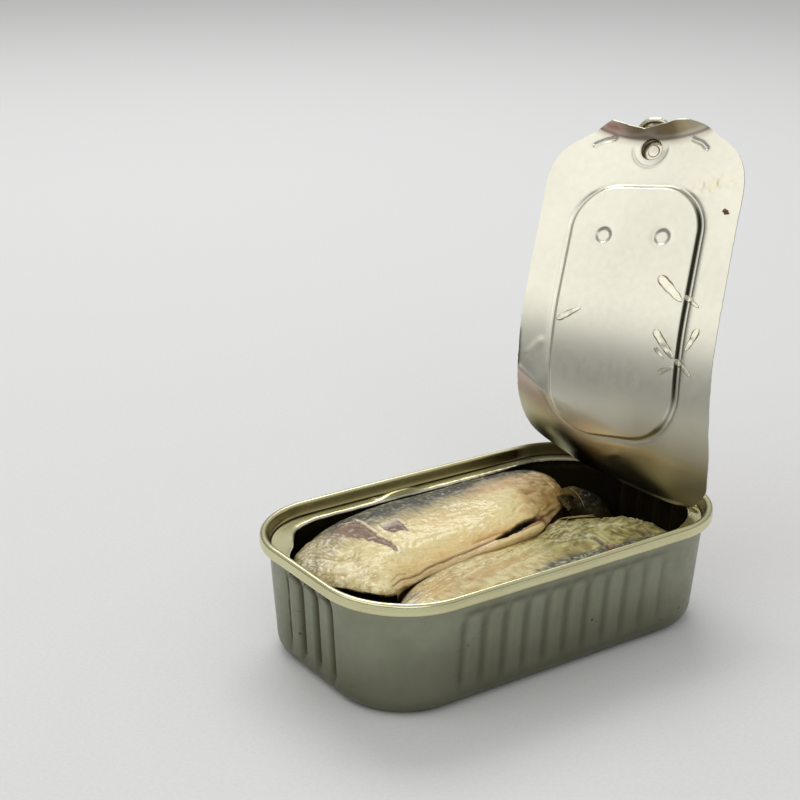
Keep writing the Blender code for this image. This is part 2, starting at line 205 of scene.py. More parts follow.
def grid_normals(g):
    """Outward-ish normals of a grid (rows, cols, 3) whose cols close round."""
    du = np.gradient(g, axis=0)
    dv = (np.roll(g, -1, axis=1) - np.roll(g, 1, axis=1)) / 2
    n = np.cross(dv, du)
    n /= np.maximum(np.linalg.norm(n, axis=-1, keepdims=True), 1e-9)
    return n


# ---- materials -----------------------------------------------------------
class Mat:
    """A Principled material and short ways to add nodes to it."""

    def __init__(self, name, **sockets):
        self.mat = bpy.data.materials.new(name)
        self.mat.use_nodes = True
        self.t = self.mat.node_tree
        self.b = self.t.nodes["Principled BSDF"]
        for key, v in sockets.items():
            self.set(key.replace("_", " "), v)

    def set(self, key, v):
        s = self.b.inputs[key]
        s.default_value = (*v, 1.0) if isinstance(v, tuple) and len(v) == 3 and \
            s.type == "RGBA" else v

    def node(self, kind, **props):
        n = self.t.nodes.new(kind)
        for k, v in props.items():
            setattr(n, k, v)
        return n

    def link(self, a, b):
        self.t.links.new(a, b)

    def put(self, socket, v):
        if hasattr(v, "is_output"):
            self.link(v, socket)
        elif isinstance(v, tuple) and len(v) == 3 and socket.type == "RGBA":
            socket.default_value = (*v, 1.0)
        else:
            socket.default_value = v

    def coords(self):
        return self.node("ShaderNodeTexCoord").outputs["Object"]

    def scaled(self, vec, s):
        n = self.node("ShaderNodeMapping")
        self.link(vec, n.inputs["Vector"])
        n.inputs["Scale"].default_value = s if isinstance(s, tuple) else (s, s, s)
        return n.outputs["Vector"]

    def noise(self, vec, size, detail=3.0, rough=0.55, distort=0.0):
        """size is the size of a blot in mm."""
        n = self.node("ShaderNodeTexNoise")
        self.link(vec, n.inputs["Vector"])
        n.inputs["Scale"].default_value = 1000.0 / size
        n.inputs["Detail"].default_value = detail
        n.inputs["Roughness"].default_value = rough
        n.inputs["Distortion"].default_value = distort
        return n.outputs["Fac"]

    def voronoi(self, vec, size, feature="F1", out="Distance"):
        n = self.node("ShaderNodeTexVoronoi", feature=feature)
        self.link(vec, n.inputs["Vector"])
        n.inputs["Scale"].default_value = 1000.0 / size
        return n.outputs[out]

    def attr(self, name, out="Fac"):
        n = self.node("ShaderNodeAttribute", attribute_name=name)
        return n.outputs[out]

    def span(self, v, a, b, lo=0.0, hi=1.0):
        n = self.node("ShaderNodeMapRange")
        n.interpolation_type = "SMOOTHSTEP"
        self.put(n.inputs["Value"], v)
        for k, x in (("From Min", a), ("From Max", b), ("To Min", lo), ("To Max", hi)):
            self.put(n.inputs[k], x)
        return n.outputs["Result"]

    def math(self, op, a, b=0.0):
        n = self.node("ShaderNodeMath", operation=op)
        self.put(n.inputs[0], a)
        self.put(n.inputs[1], b)
        return n.outputs[0]

    def mix(self, f, a, b, mode="MIX"):
        n = self.node("ShaderNodeMix", data_type="RGBA", blend_type=mode)
        self.put(n.inputs[0], f)
        self.put(n.inputs[6], a)
        self.put(n.inputs[7], b)
        return n.outputs[2]

    def bump(self, height, dist, strength=1.0, normal=None):
        n = self.node("ShaderNodeBump")
        self.link(height, n.inputs["Height"])
        n.inputs["Distance"].default_value = dist * MM
        n.inputs["Strength"].default_value = strength
        if normal is not None:
            self.link(normal, n.inputs["Normal"])
        return n.outputs["Normal"]

    def colour(self, v):
        self.put(self.b.inputs["Base Color"], v)

    def rough(self, v):
        self.put(self.b.inputs["Roughness"], v)

    def normal(self, v):
        self.link(v, self.b.inputs["Normal"])


def metal(name, base, dark, rough, grain=0.25, metallic=1.0, blot=9.0, tint=None,
          specks=None, bump=0.006, grit=0.22, scuffs=None,
          even=1.0, dull=None):
    """Lacquered or plain sheet metal: two tones in soft blots, fine grain in the
    roughness, a few dark specks and attribute tints, many painted shade or highlight."""
    m = Mat(name, Metallic=metallic)
    c = m.coords()
    soft = m.noise(c, blot, 4.0)
    fine = m.noise(c, grain, 2.0, 0.7)
    mid = m.noise(c, 1.6, 3.0)
    col = m.mix(m.span(soft, 0.3, 0.7), base, dark)
    col = m.mix(m.span(fine, 0.35, 0.75, 0.0, grit), col, dark)
    if specks:
        size, amount, tone = specks
        v = m.voronoi(m.scaled(c, 1.0), size)
        keep = m.span(m.noise(c, size * 3.1, 1.0), 0.56, 0.6)
        dot = m.math("MULTIPLY", m.span(v, amount, amount * 0.4), keep)
        col = m.mix(dot, col, tone)
    if scuffs:
        line = m.noise(m.scaled(c, (0.45, 0.45, 4.5)), 3.2, 3.0, 0.6)
        patch = m.span(m.noise(c, 13.0, 2.0), 0.53, 0.63)
        col = m.mix(m.math("MULTIPLY", m.span(line, 0.62, 0.70, 0.0, 0.8), patch), col, scuffs)
    if tint:
        for key, tone in tint:
            col = m.mix(m.attr(key), col, tone)
    m.colour(col)
    r = m.math("ADD", m.span(mid, 0.3, 0.7, rough * (1 - 0.14 * even), rough * (1 + 0.14 * even)),
               m.span(fine, 0.3, 0.8, 0.0, 0.06 * even))
    if dull:
        r = m.math("MAXIMUM", r, m.math("MULTIPLY", m.attr(dull), 0.70))
    m.rough(r)
    m.normal(m.bump(m.math("ADD", fine, m.math("MULTIPLY", soft, 0.6)), bump))
    return m


# ---- camera, light and floor ----------------------------------------------
def stage():
    cam = bpy.data.cameras.new("camera")
    cam.sensor_width, cam.lens = 36.0, 74.243
    cam.clip_start, cam.clip_end = 0.01, 20.0
    eye = bpy.data.objects.new("camera", cam)
    fwd = Vector((0.53931, 0.77156, -0.33739)).normalized()
    right = fwd.cross(Vector((0, 0, 1))).normalized()
    up = right.cross(fwd)
    roll = math.radians(0.722)
    right, up = (right * math.cos(roll) + up * math.sin(roll),
                 up * math.cos(roll) - right * math.sin(roll))
    eye.matrix_world = Matrix((
        (right.x, up.x, -fwd.x, -0.22101), (right.y, up.y, -fwd.y, -0.27830),
        (right.z, up.z, -fwd.z, 0.18421), (0, 0, 0, 1)))
    scene = bpy.context.scene
    scene.collection.objects.link(eye)
    scene.camera = eye
    scene.view_settings.view_transform = "Standard"
    scene.view_settings.look = "None"
    scene.view_settings.exposure = 0.0
    scene.view_settings.gamma = 1.0

    world = bpy.data.worlds.new("studio")
    scene.world = world
    world.use_nodes = True
    t = world.node_tree
    bg = t.nodes["Background"]
    co = t.nodes.new("ShaderNodeTexCoord")
    sep = t.nodes.new("ShaderNodeSeparateXYZ")
    ramp = t.nodes.new("ShaderNodeValToRGB")
    t.links.new(co.outputs["Generated"], sep.inputs[0])
    t.links.new(sep.outputs["Z"], ramp.inputs[0])
    t.links.new(ramp.outputs[0], bg.inputs["Color"])
    e = ramp.color_ramp.elements
    e[0].position, e[0].color = 0.0, (0.22, 0.22, 0.21, 1)
    e[1].position, e[1].color = 1.0, (0.62, 0.63, 0.63, 1)
    for pos, v in ((0.12, 0.34), (0.42, 0.62), (0.75, 0.78)):
        x = ramp.color_ramp.elements.new(pos)
        x.color = (v, v, v * 0.99, 1)
    bg.inputs["Strength"].default_value = 0.75

    def area(name, at, to, size, power, colour=(1, 1, 1)):
        lamp = bpy.data.lights.new(name, "AREA")
        lamp.shape, lamp.size, lamp.size_y = "RECTANGLE", size[0], size[1]
        lamp.energy, lamp.color = power, colour
        obj = bpy.data.objects.new(name, lamp)
        scene.collection.objects.link(obj)
        obj.location = at
        obj.rotation_euler = (Vector(to) - Vector(at)).to_track_quat("-Z", "Y").to_euler()

    area("side", (-0.85, 0.02, 0.95), (0.0, 0.0, 0.02), (1.2, 1.0), 2.85, (1.0, 0.985, 0.95))
    area("back", (0.30, 0.66, 0.98), (0.0, 0.0, 0.02), (0.8, 0.6), 5.6)
    area("front", (-0.45, -0.95, 0.85), (0.0, 0.0, 0.03), (0.8, 0.6), 1.9)

    m = Mat("floor_paper", Roughness=0.85)
    c = m.coords()
    fine = m.noise(c, 0.9, 3.0, 0.6)
    col = m.mix(m.span(fine, 0.35, 0.7), (0.765, 0.77, 0.765), (0.735, 0.74, 0.735))
    m.colour(col)
    m.normal(m.bump(fine, 0.05, 0.5))
    n = 64
    ringp = [(2600 * math.cos(2 * math.pi * i / n), 2600 * math.sin(2 * math.pi * i / n), 0.0)
             for i in range(n)]
    floor = make("floor", ringp, [tuple(range(n))], [m.mat], None)


# ---- the body --------------------------------------------------------------
def outline(hl, hw, r, n_long, n_end, n_corner, bow=0.0):
    """Stations round a rounded rectangle, anticlockwise from the +X side:
    points, outward normals."""
    def lin(a, b, n):
        return a + (b - a) * np.arange(n) / n

    xs, ys, nx, ny = [], [], [], []

    def side(x, y, ox, oy):
        xs.append(x + 0 * y), ys.append(y + 0 * x)
        nx.append(ox + 0 * x + 0 * y), ny.append(oy + 0 * x + 0 * y)

    def corner(cx, cy, a0):
        a = a0 + lin(0, math.pi / 2, n_corner)
        xs.append(cx + r * np.cos(a)), ys.append(cy + r * np.sin(a))
        nx.append(np.cos(a)), ny.append(np.sin(a))

    ey, ex = hw - r, hl - r
    side(hl, lin(-ey, ey, n_end), 1.0, 0.0)
    corner(ex, ey, 0)
    side(lin(ex, -ex, n_long), hw, 0.0, 1.0)
    corner(-ex, ey, math.pi / 2)
    side(-hl, lin(ey, -ey, n_end), -1.0, 0.0)
    corner(-ex, -ey, math.pi)
    side(lin(-ex, ex, n_long), -hw, 0.0, -1.0)
    corner(ex, -ey, 1.5 * math.pi)
    x, y = np.concatenate(xs), np.concatenate(ys)
    nx, ny = np.concatenate(nx), np.concatenate(ny)
    swell = bow * np.cos(np.clip(x / hl, -1, 1) * math.pi / 2) * (np.abs(y) / hw) ** 3
    y = y + np.sign(y) * swell
    return x, y, nx, ny


def bead_inset(s, z, centres, half, z0, z1, radius, deep, width, bulge, top_fade):
    """How far the wall is pressed in by a row of upright beads: a channel round
    each rounded panel, and the panel itself swelling out a little."""
    inset = np.zeros(s.shape)
    for c in centres:
        qx = np.abs(s - c) - (half - radius)
        qz = np.abs(z - (z0 + z1) / 2) - ((z1 - z0) / 2 - radius)
        d = (np.hypot(np.maximum(qx, 0), np.maximum(qz, 0))
             + np.minimum(np.maximum(qx, qz), 0) - radius)
        g = deep * np.exp(-(d / width) ** 2) * (1 - top_fade * smooth((z - z1 + 4.5) / 4.0))
        inset = np.maximum(inset, g)
        inset = np.where(d < 0, np.maximum(inset, 0) - bulge * smooth(-d / half), inset)
    return inset * smooth((z - z0 + 0.5) / 5.0)


def wall_level(z, inset, skin):
    t = max(0.0, min(1.0, (z - BASE_EDGE) / (WALL_TOP - BASE_EDGE)))
    hl = BASE_HL + (SEAM_L / 2 - OVERHANG - BASE_HL) * t
    hw = BASE_HW + (SEAM_W / 2 - OVERHANG - BASE_HW) * t
    r = BASE_R + (SEAM_R - OVERHANG - BASE_R) * t
    x, y, nx, ny = outline(hl, hw, r, 220, 130, 26, BOW * t)
    long_side = np.abs(ny) > 0.999
    end_side = np.abs(nx) > 0.999
    zz = np.full(x.shape, float(z))
    half = RIB_PITCH * RIB_N / 2
    ribs = [-half + RIB_PITCH * (k + 0.5) for k in range(RIB_N)]
    d = np.where(long_side, bead_inset(x, zz, ribs, 2.75, 2.6, 23.1, 2.6, 0.42, 1.20, 0.05, 0.75), 0)
    d = d + np.where(end_side, bead_inset(y, zz, (-6.2, 0.0, 6.2), 2.85, 2.8, 24.4, 2.5,
                                          0.95, 0.80, 0.16, 0.3), 0)
    p = np.stack([x, y, zz], -1)
    dent = 0.10 * noise(p, 16.0, 3) * smooth((z - 3) / 6) * smooth((25 - z) / 5)
    k = inset + skin + d + dent
    # painted shade for the body's tint: dark lines in the ribs' grooves, the shaded side of each end flute, darker
    # towards the bottom and at the left end, and a dark line under the rim
    dark = np.where(long_side, bead_inset(x, zz, ribs, 2.75, 2.6, 23.1, 2.6, 1.0, 0.85, 0.0, 0.5), 0)
    cut = bead_inset(y, zz, (-6.2, 0.0, 6.2), 2.85, 2.8, 24.4, 2.5, 1.0, 0.85, 0.0, 0.0)
    side = smooth((3.1 - np.mod(y + 3.1, 6.2)) / 0.8 + 0.4) * (np.abs(y) < 9.6)
    dark = dark * (0.46 - 0.30 * smooth((x - 8.0) / 34.0)) + np.where(end_side, cut * np.where(x < 0, side, 1 - side), 0)
    dark = dark + 0.34 * smooth((6.5 - zz) / 6.0) + 0.10 * smooth((-x - 44) / 6)
    under = 0.30 * np.exp(-((zz - 23.4) / 0.8) ** 2) * smooth((half + 2.0 - np.abs(x)) / 3.0)
    dark = dark + np.where(long_side, under, 0)
    return np.stack([x - nx * k, y - ny * k, zz, np.clip(dark, 0, 1)], -1)


def build_body(mat, inner):
    outer = []
    for i in range(9):
        a = math.radians(90 * i / 8)
        outer.append((BASE_EDGE * (1 - math.cos(a)), BASE_EDGE * (1 - math.sin(a))))
    outer += [(float(z), 0.0) for z in np.arange(5.0, 21.0, 0.7)]
    outer += [(float(z), 0.0) for z in np.arange(21.0, 26.5, 0.28)]
    inside = [(26.4, 0.0), (22.0, 0.0), (15.0, 0.0), (8.0, 0.0), (BASE_EDGE, 0.0),
              (1.9, 1.05), (WALL, BASE_EDGE)]
    levels = [wall_level(z, i, 0.0) for z, i in outer]
    levels += [wall_level(z, i, WALL) for z, i in inside]
    g = np.array(levels)
    # painted shade: the outside wall darker towards the bottom
    shade = 0.36 * smooth((21.0 - g[..., 2]) / 18.0)
    painted_wall_shade = np.maximum(g[..., 3], 1 - (1 - g[..., 3]) * (1 - shade)) * \
        (np.arange(len(g)) < len(outer))[:, None]
    g = g[..., :3]
    rows, cols = g.shape[:2]
    faces = ring_faces(rows, cols)
    index = [0] * ((len(outer) - 1) * cols) + [1] * (len(faces) - (len(outer) - 1) * cols)
    verts = g.reshape(-1, 3).tolist()
    # the base is a shallow stepped panel inside its rim; the inside floor is plain
    base = g[0]
    last = range(cols)
    for k, (s, z) in enumerate(((0.93, 0.0), (0.90, 0.35), (0.5, 0.4), (0.02, 0.4))):
        r = base * np.array([s, s, 1.0])
        r[:, 2] = z
        if k < 2:
            off = (1 - s) * 40.0
            r = base.copy()
            length = np.hypot(base[:, 0], base[:, 1])
            r[:, :2] = base[:, :2] * ((length - off) / length)[:, None]
            r[:, 2] = z
        start = len(verts)
        verts += r.tolist()
        last = list(last)
        for i in range(cols):
            j = (i + 1) % cols
            faces.append((last[j], last[i], start + i, start + j))
            index.append(0)
        last = range(start, start + cols)
    faces.append(tuple(reversed(list(last))))
    index.append(0)
    faces.append(tuple(range((rows - 1) * cols, rows * cols)))
    index.append(1)
    marks = np.zeros(len(verts))
    marks[:painted_wall_shade.size] = painted_wall_shade.ravel()
    return make("can_body_drawn", verts, faces, [mat, inner], "tin", "can_body",
                index, {"painted_wall_shade": marks})


# ---- the seamed end: seam, countersink, ledge, torn opening -----------------
def build_end(mat, raw):
    nl, ne, nc = 150, 70, 46
    profile = ((1.95, 26.50), (1.3, 26.28), (0.55, 26.22), (0.18, 26.36), (0.03, 26.65),
               (0.0, 27.1), (0.06, 27.55), (0.13, 27.85), (0.14, 28.0), (0.06, 28.15),
               (0.02, 28.35), (0.08, 28.62), (0.26, 28.86), (0.55, 29.04), (0.9, 29.1),
               (1.22, 29.04), (1.5, 28.84), (1.68, 28.5), (1.76, 28.0), (1.84, 27.4),
               (1.94, 26.95), (2.08, 26.6), (2.3, 26.32), (2.6, 26.14), (2.85, 26.08))

    def seam(d, z):
        x, y, nx, ny = outline(SEAM_L / 2 - d, SEAM_W / 2 - d, SEAM_R - d, nl, ne, nc, BOW)
        return np.stack([x, y, np.full(x.shape, z)], -1)

    def opening(grow, z, drop=0.0):
        x, y, nx, ny = outline(OPEN_HL, OPEN_HW, OPEN_R, nl, ne, nc)
        cx = -(OPEN_HL - OPEN_R)
        cy = np.sign(y) * (OPEN_HW - OPEN_R)
        free = (x < cx) & (np.abs(y) > np.abs(cy))
        a = np.degrees(np.arctan2(np.abs(y - cy), cx - x))
        pull = np.where(y > 0, 2.4, -0.6)
        k = np.where(free, 1 - pull / OPEN_R * np.exp(-((a - 36) / 20) ** 2), 1.0)
        x, y = np.where(free, cx + (x - cx) * k, x), np.where(free, cy + (y - cy) * k, y)
        rag = 0.07 * noise(np.stack([x, y, 0 * x], -1), 0.9, 5) + \
            0.10 * noise(np.stack([x, y, 0 * x], -1), 3.5, 6)
        # the back edge tore in two runs that don't quite meet
        rag = rag + np.where(y > 20, 0.12 * smooth((x + 14.5) / 1.2) * smooth((-3.0 - x) / 1.0), 0)
        x, y = x + nx * (grow + rag), y + ny * (grow + rag)
        x = np.minimum(x, 45.9 - 0.04 * y + grow)
        zz = np.full(x.shape, z) + 0.06 * noise(np.stack([x, y, 0 * x], -1), 2.0, 8)
        # the back edge is turned down where it tore
        zz = zz - drop * smooth((y - 14) / 8) * smooth((30 - x) / 9)
        return np.stack([x, y, zz], -1)

    loops = [seam(d, z) for d, z in profile]
    edge = opening(0.0, LEDGE_Z)
    foot = loops[-1]
    for t, dz in ((0.35, 0.0), (0.7, -0.03)):
        r = foot + (edge - foot) * t
        r[:, 2] = LEDGE_Z - 0.02 + dz
        loops.append(r)
    n_gold = len(loops)
    loops.append(opening(0.48, LEDGE_Z - 0.05, 0.02))
    loops.append(opening(0.22, LEDGE_Z + 0.03, 0.22))
    loops.append(opening(0.03, LEDGE_Z + 0.02, 0.48))
    loops.append(opening(0.0, LEDGE_Z - 0.12, 0.52))
    loops.append(opening(0.12, LEDGE_Z - 0.26, 0.50))
    loops.append(opening(0.8, LEDGE_Z - 0.3, 0.08))
    loops += [seam(2.4, 25.9), seam(2.15, 26.3)]
    g = np.array(loops)
    # a raised fold at the foot of the back wall, and a small nick beside it
    x, y, z = g[..., 0], g[..., 1], g[..., 2]
    top = z > 25.95
    fold = 1.15 * np.exp(-np.abs((x + 6.6) / 4.8) ** 3.2 - ((y - 27.6) / 1.2) ** 2)
    nick = 0.16 * np.exp(-((x + 13.8) / 0.7) ** 2 - ((y - 28.3) / 0.8) ** 2)
    # painted shade for the end's tints: the raised fold darkened, the seam's inner wall darkened, most at the back
    # and the right end, and the back right corner by the hinge darkened
    shade = np.exp(-np.abs((x + 6.8) / 5.2) ** 5 - np.abs((y - 27.5) / 1.4) ** 2.6)
    wall = np.zeros(x.shape)
    wall[17:24] = 1.0
    wall = wall * (0.35 + 0.65 * np.maximum(smooth((y - 5) / 12), smooth((x - 40) / 6)))
    dim_shade = smooth((x - 27) / 10) * smooth((y - 12) / 8)
    dim_shade[:12] = 0
    dim_shade[24:] *= 0.45
    ripple = 0.05 * noise(np.stack([x, y, 0 * x], -1), 7.0, 11)
    g[..., 2] = z + np.where(top & (z < 28.0), fold + nick, 0) + \
        np.where(top & (z < 26.9), ripple, 0)
    g[..., 2] += 0.05 * noise(np.stack([x, y, 0 * x], -1), 19.0, 12)
    rows, cols = g.shape[:2]
    faces = ring_faces(rows, cols, closed_rows=True, flip=False)
    index = np.zeros(len(faces), int)
    index[(n_gold + 1) * cols:(n_gold + 4) * cols] = 1
    return make("end_ring_seamed", g.reshape(-1, 3), faces, [mat, raw], "tin", "end_ring",
                index, {"fold": shade.ravel(), "wall": wall.ravel(), "dim_shade": dim_shade.ravel()},
                sharp=60)


# ---- the lid -----------------------------------------------------------------
def bend(u, v, n, start, skew, angle, length):
    c, s = math.cos(skew), math.sin(skew)
    along = c * (u - start) + s * v
    across = -s * (u - start) + c * v
    k = angle / length
    phi = k * np.clip(along, 0, length)
    rest = np.maximum(along - length, 0)
    neg = np.minimum(along, 0)
    a2 = neg + np.sin(phi) / k - n * np.sin(phi) + rest * np.cos(phi)
    n2 = (1 - np.cos(phi)) / k + n * np.cos(phi) + rest * np.sin(phi)
    return start + c * a2 - s * across, s * a2 + c * across, n2


def lip_start(v):
    """The curled lip is deepest in the middle and tapers to both sides."""
    return LIP_U - 0.9 + 3.2 * np.minimum(np.abs(v - 0.4) / 15.5, 1.1) ** 2.2


def lid_at(u, v, n):
    """Points of the sheet from the flat pattern: u along it from the joint's
    end, v across, n out of its outer face."""
    u, v, n = (np.asarray(a, float) for a in (u, v, n))
    wide = 0.02 + 0.98 * smooth((16.8 - np.abs(v)) / 3.2)
    u, v, n = bend(u, v, n, lip_start(v), 0.0, -LIP_ANGLE * wide, LIP_LEN)
    for b in BENDS:
        u, v, n = bend(u, v, n, *b)
    return np.stack([OPEN_HL - u, v, LEDGE_Z + n], -1)


def lid_frame(u, v):
    o = lid_at(u, v, 0.0)
    au = lid_at(u + 0.5, v, 0) - lid_at(u - 0.5, v, 0)
    au /= np.linalg.norm(au)
    n = lid_at(u, v, 1.0) - o
    n /= np.linalg.norm(n)
    av = np.cross(n, au)
    return Vector(o), Vector(au), Vector(av / np.linalg.norm(av)), Vector(n)


def round_rect(u, v, cu, cv, hu, hv, r):
    qu, qv = np.abs(u - cu) - (hu - r), np.abs(v - cv) - (hv - r)
    return np.hypot(np.maximum(qu, 0), np.maximum(qv, 0)) + \
        np.minimum(np.maximum(qu, qv), 0) - r


def bead_sdf(u, v):
    return round_rect(u, v, (BEAD_U0 + BEAD_U1) / 2, 0.0, (BEAD_U1 - BEAD_U0) / 2,
                      BEAD_HW, BEAD_R)


DIMPLES = ((71.3, 7.9), (71.3, -7.9))
LIP_BEADS = (((95.0, 15.2), (96.3, 12.8), (96.9, 10.2)),
             ((97.0, -10.8), (96.2, -13.0), (94.8, -14.6)))


def lid_relief(u, v):
    """Offset of the sheet along its outer normal; the bead's panel is pressed
    towards the inside."""
    sdf = bead_sdf(u, v)
    top = smooth((u - 81.5) / 3.0)
    n = -0.95 * smooth((0.45 + 0.50 * top - sdf) / (1.1 + 0.95 * top)) + \
        (0.34 - 0.24 * top) * np.exp(-((sdf - 0.55) / 0.62) ** 2)
    for cu, cv in DIMPLES:
        r = np.hypot(u - cu, v - cv)
        n = n + 0.34 * smooth((2.3 - r) / 1.05) - 0.05 * np.exp(-((r - 2.5) / 0.5) ** 2)
    r = np.hypot(u - RIVET_U, v)
    foot = smooth((RIVET_U + 1.6 - u) / 2.6)
    n = n + 1.85 * smooth((2.75 - r) / 0.40) + 0.30 * smooth((4.9 - r) / 3.2) * foot
    n = n - 0.75 * smooth((1.75 - r) / 0.35)
    n = n - 0.12 * np.exp(-((r - 4.75) / 0.35) ** 2) * foot
    for pts in LIP_BEADS:
        d, at = line_dist(u, v, pts)
        n = n + 0.38 * np.exp(-(d / 0.5) ** 2)
    # hand marks: broad soft waves, a crease at the lower left, small pits
    p = np.stack([u, v, 0 * u], -1)
    n = n + 0.16 * noise(p, (26.0, 18.0, 9.0), 21) * smooth((u - 8) / 10) * smooth((96 - u) / 6)
    d, at = line_dist(u, v, ((37.4, 26.4), (33.6, 21.8), (29.4, 17.2)))
    n = n - 0.22 * np.exp(-(d / 0.8) ** 2) * smooth((1.02 - at) / 0.4)
    d, at = line_dist(u, v, ((40.4, 23.8), (43.8, 20.2)))
    n = n - 0.18 * np.exp(-(d / 0.7) ** 2)
    # the crest of the fold, along the hinge
    n = n - 0.46 * np.exp(-((u - 5.6 - 0.04 * v) / 0.42) ** 2) * smooth((7.0 - v) / 5) * smooth((v + 19) / 4)
    d, at = line_dist(u, v, ((17.0, -1.0), (15.2, 3.6)))
    n = n - 0.14 * np.exp(-(d / 0.9) ** 2)
    pit = noise(p, 0.9, 23)
    zone = np.exp(-((u - 85.2 + 0.10 * (v + 18)) / 1.8) ** 2 - ((v + 18.5) / 5.6) ** 2)
    n = n + 0.11 * smooth((pit - 0.04) / 0.35) * zone
    # the lip is pushed back in the middle, where the ring's nose broke through
    n = n + 0.35 * np.exp(-((v - 2.0) / 2.2) ** 2) * smooth((u - 97.0) / 2.5)
    return n


def lid_outline(step=0.42):
    """Closed outline of the sheet in the pattern, from the joint round."""
    hl, r = LID_END / 2, OPEN_R
    x, y, nx, ny = outline(hl, OPEN_HW, r, int(64 / step), int(13 / step), int(30 / step))
    u, v = hl + x, y
    # the corners of the free end are cut a little flatter than the circle
    cu, cv = LID_END - r, np.sign(y) * (OPEN_HW - r)
    end = (u > cu) & (np.abs(v) > np.abs(cv))
    a = np.degrees(np.arctan2(np.abs(v - cv), u - cu))
    k = np.where(end, 1 - np.where(v > 0, 2.0, 1.6) / r * np.exp(-((a - 35) / 20) ** 2), 1.0)
    u, v = np.where(end, cu + (u - cu) * k, u), np.where(end, cv + (v - cv) * k, v)
    notch = np.clip(1 - np.abs(v - 2.2) / 10.0, 0, 1)
    u = np.where(u > 90, np.minimum(u, LID_END - 0.5 - 2.9 * notch ** 1.15), u)
    foot = 3.6 + 0.04 * v + 3.4 * smooth((-v - 12.0) / 13.0) + 3.2 * smooth((v - 12.0) / 12.0)
    u = np.where(u < 30, np.maximum(u, foot), u)
    v = v - 2.2 * np.exp(-((u - 8.5) / 5.0) ** 2) * smooth((v - 13.0) / 8.0)
    rag = 0.06 * noise(np.stack([u, v, 0 * u], -1), 1.0, 31) + \
        0.09 * noise(np.stack([u, v, 0 * u], -1), 4.0, 32)
    # the front corner sprang out a little where it tore free
    v = v - 1.9 * np.exp(-((u - 8.0) / 4.6) ** 2) * smooth((-14.0 - v) / 8.0)
    free = smooth((u - 6) / 3)
    return u + nx * rag * free, v + ny * rag * free, nx, ny


def lid_points():
    ou, ov, nx, ny = lid_outline()
    keep = [0]
    for i in range(1, len(ou)):
        if math.hypot(ou[i] - ou[keep[-1]], ov[i] - ov[keep[-1]]) > 0.12:
            keep.append(i)
    ou, ov, nx, ny = ou[keep], ov[keep], nx[keep], ny[keep]
    out = list(zip(ou, ov))
    pts = []

    def hexes(step, u0, u1, v0, v1, test=None):
        rows = int((u1 - u0) / (step * 0.866)) + 1
        for i in range(rows):
            u = u0 + i * step * 0.866
            for v in np.arange(v0 + (i % 2) * step / 2, v1, step):
                if test is None or test(u, v):
                    pts.append((u, float(v)))

    fine = []          # (u, v, radius) left to the structured points
    for d in (0.16, 0.4, 0.8):
        pts += [(a - b * d, c - e * d) for a, b, c, e in zip(ou, nx, ov, ny)]
    # rings along the bead's wall
    cu, hu = (BEAD_U0 + BEAD_U1) / 2, (BEAD_U1 - BEAD_U0) / 2
    for d in np.arange(-1.3, 1.31, 0.2):
        x, y, a, b = outline(hu + d, BEAD_HW + d, BEAD_R + d, 100, 22, 40)
        pts += [(cu + s, t) for s, t in zip(x, y)]
    for (c0, c1), radii, count in [(DIMPLES[0], np.arange(0.5, 3.1, 0.22), 36),
                                   (DIMPLES[1], np.arange(0.5, 3.1, 0.22), 36),
                                   ((RIVET_U, 0.0), np.arange(0.4, 5.6, 0.16), 64)]:
        for r in radii:
            for i in range(count):
                a = 2 * math.pi * (i + 0.5 * (round(r / 0.1) % 2)) / count
                pts.append((c0 + r * math.cos(a), c1 + r * math.sin(a)))
        fine.append((c0, c1, radii[-1]))
    for u in np.arange(LIP_U - 0.4, LIP_U + LIP_LEN + 0.6, 0.2):
        pts += [(float(u), float(v)) for v in np.arange(-17.5, 17.5, 0.42)]
    for u in np.arange(3.9, 6.6, 0.16):
        pts += [(float(u + 0.04 * v), float(v)) for v in np.arange(-21, 21, 0.5)]
    hexes(0.34, 92.0, LIP_U - 0.4, -16.5, 16.5)
    hexes(0.36, 83.0, 90.5, -24.0, -12.0)

    def coarse(u, v):
        if abs(bead_sdf(u, v)) < 1.5 or 92.0 < u < LIP_U + LIP_LEN + 0.6 and abs(v) < 17:
            return False
        if u < 7.0 or 83 < u < 90.5 and -24 < v < -12:
            return False
        return all(math.hypot(u - a, v - b) > r + 0.2 for a, b, r in fine)

    hexes(0.75, 6.6, LID_END, -26.0, 26.0, coarse)
    allp = np.array(pts)
    d = poly_sdf(allp[:, 0], allp[:, 1], out)
    near_rivet = np.hypot(allp[:, 0] - RIVET_U, allp[:, 1]) < 5.5
    keepers = (d < -0.13)
    # inside the rivet's rings only the rings' own points stay
    n_ring = np.array([abs(((math.hypot(p[0] - RIVET_U, p[1]) - 0.4) / 0.16) % 1) < 0.02 or
                       abs(((math.hypot(p[0] - RIVET_U, p[1]) - 0.4) / 0.16) % 1) > 0.98
                       for p in allp])
    keepers &= ~near_rivet | n_ring
    return out, allp[keepers]


LID_T = 0.32


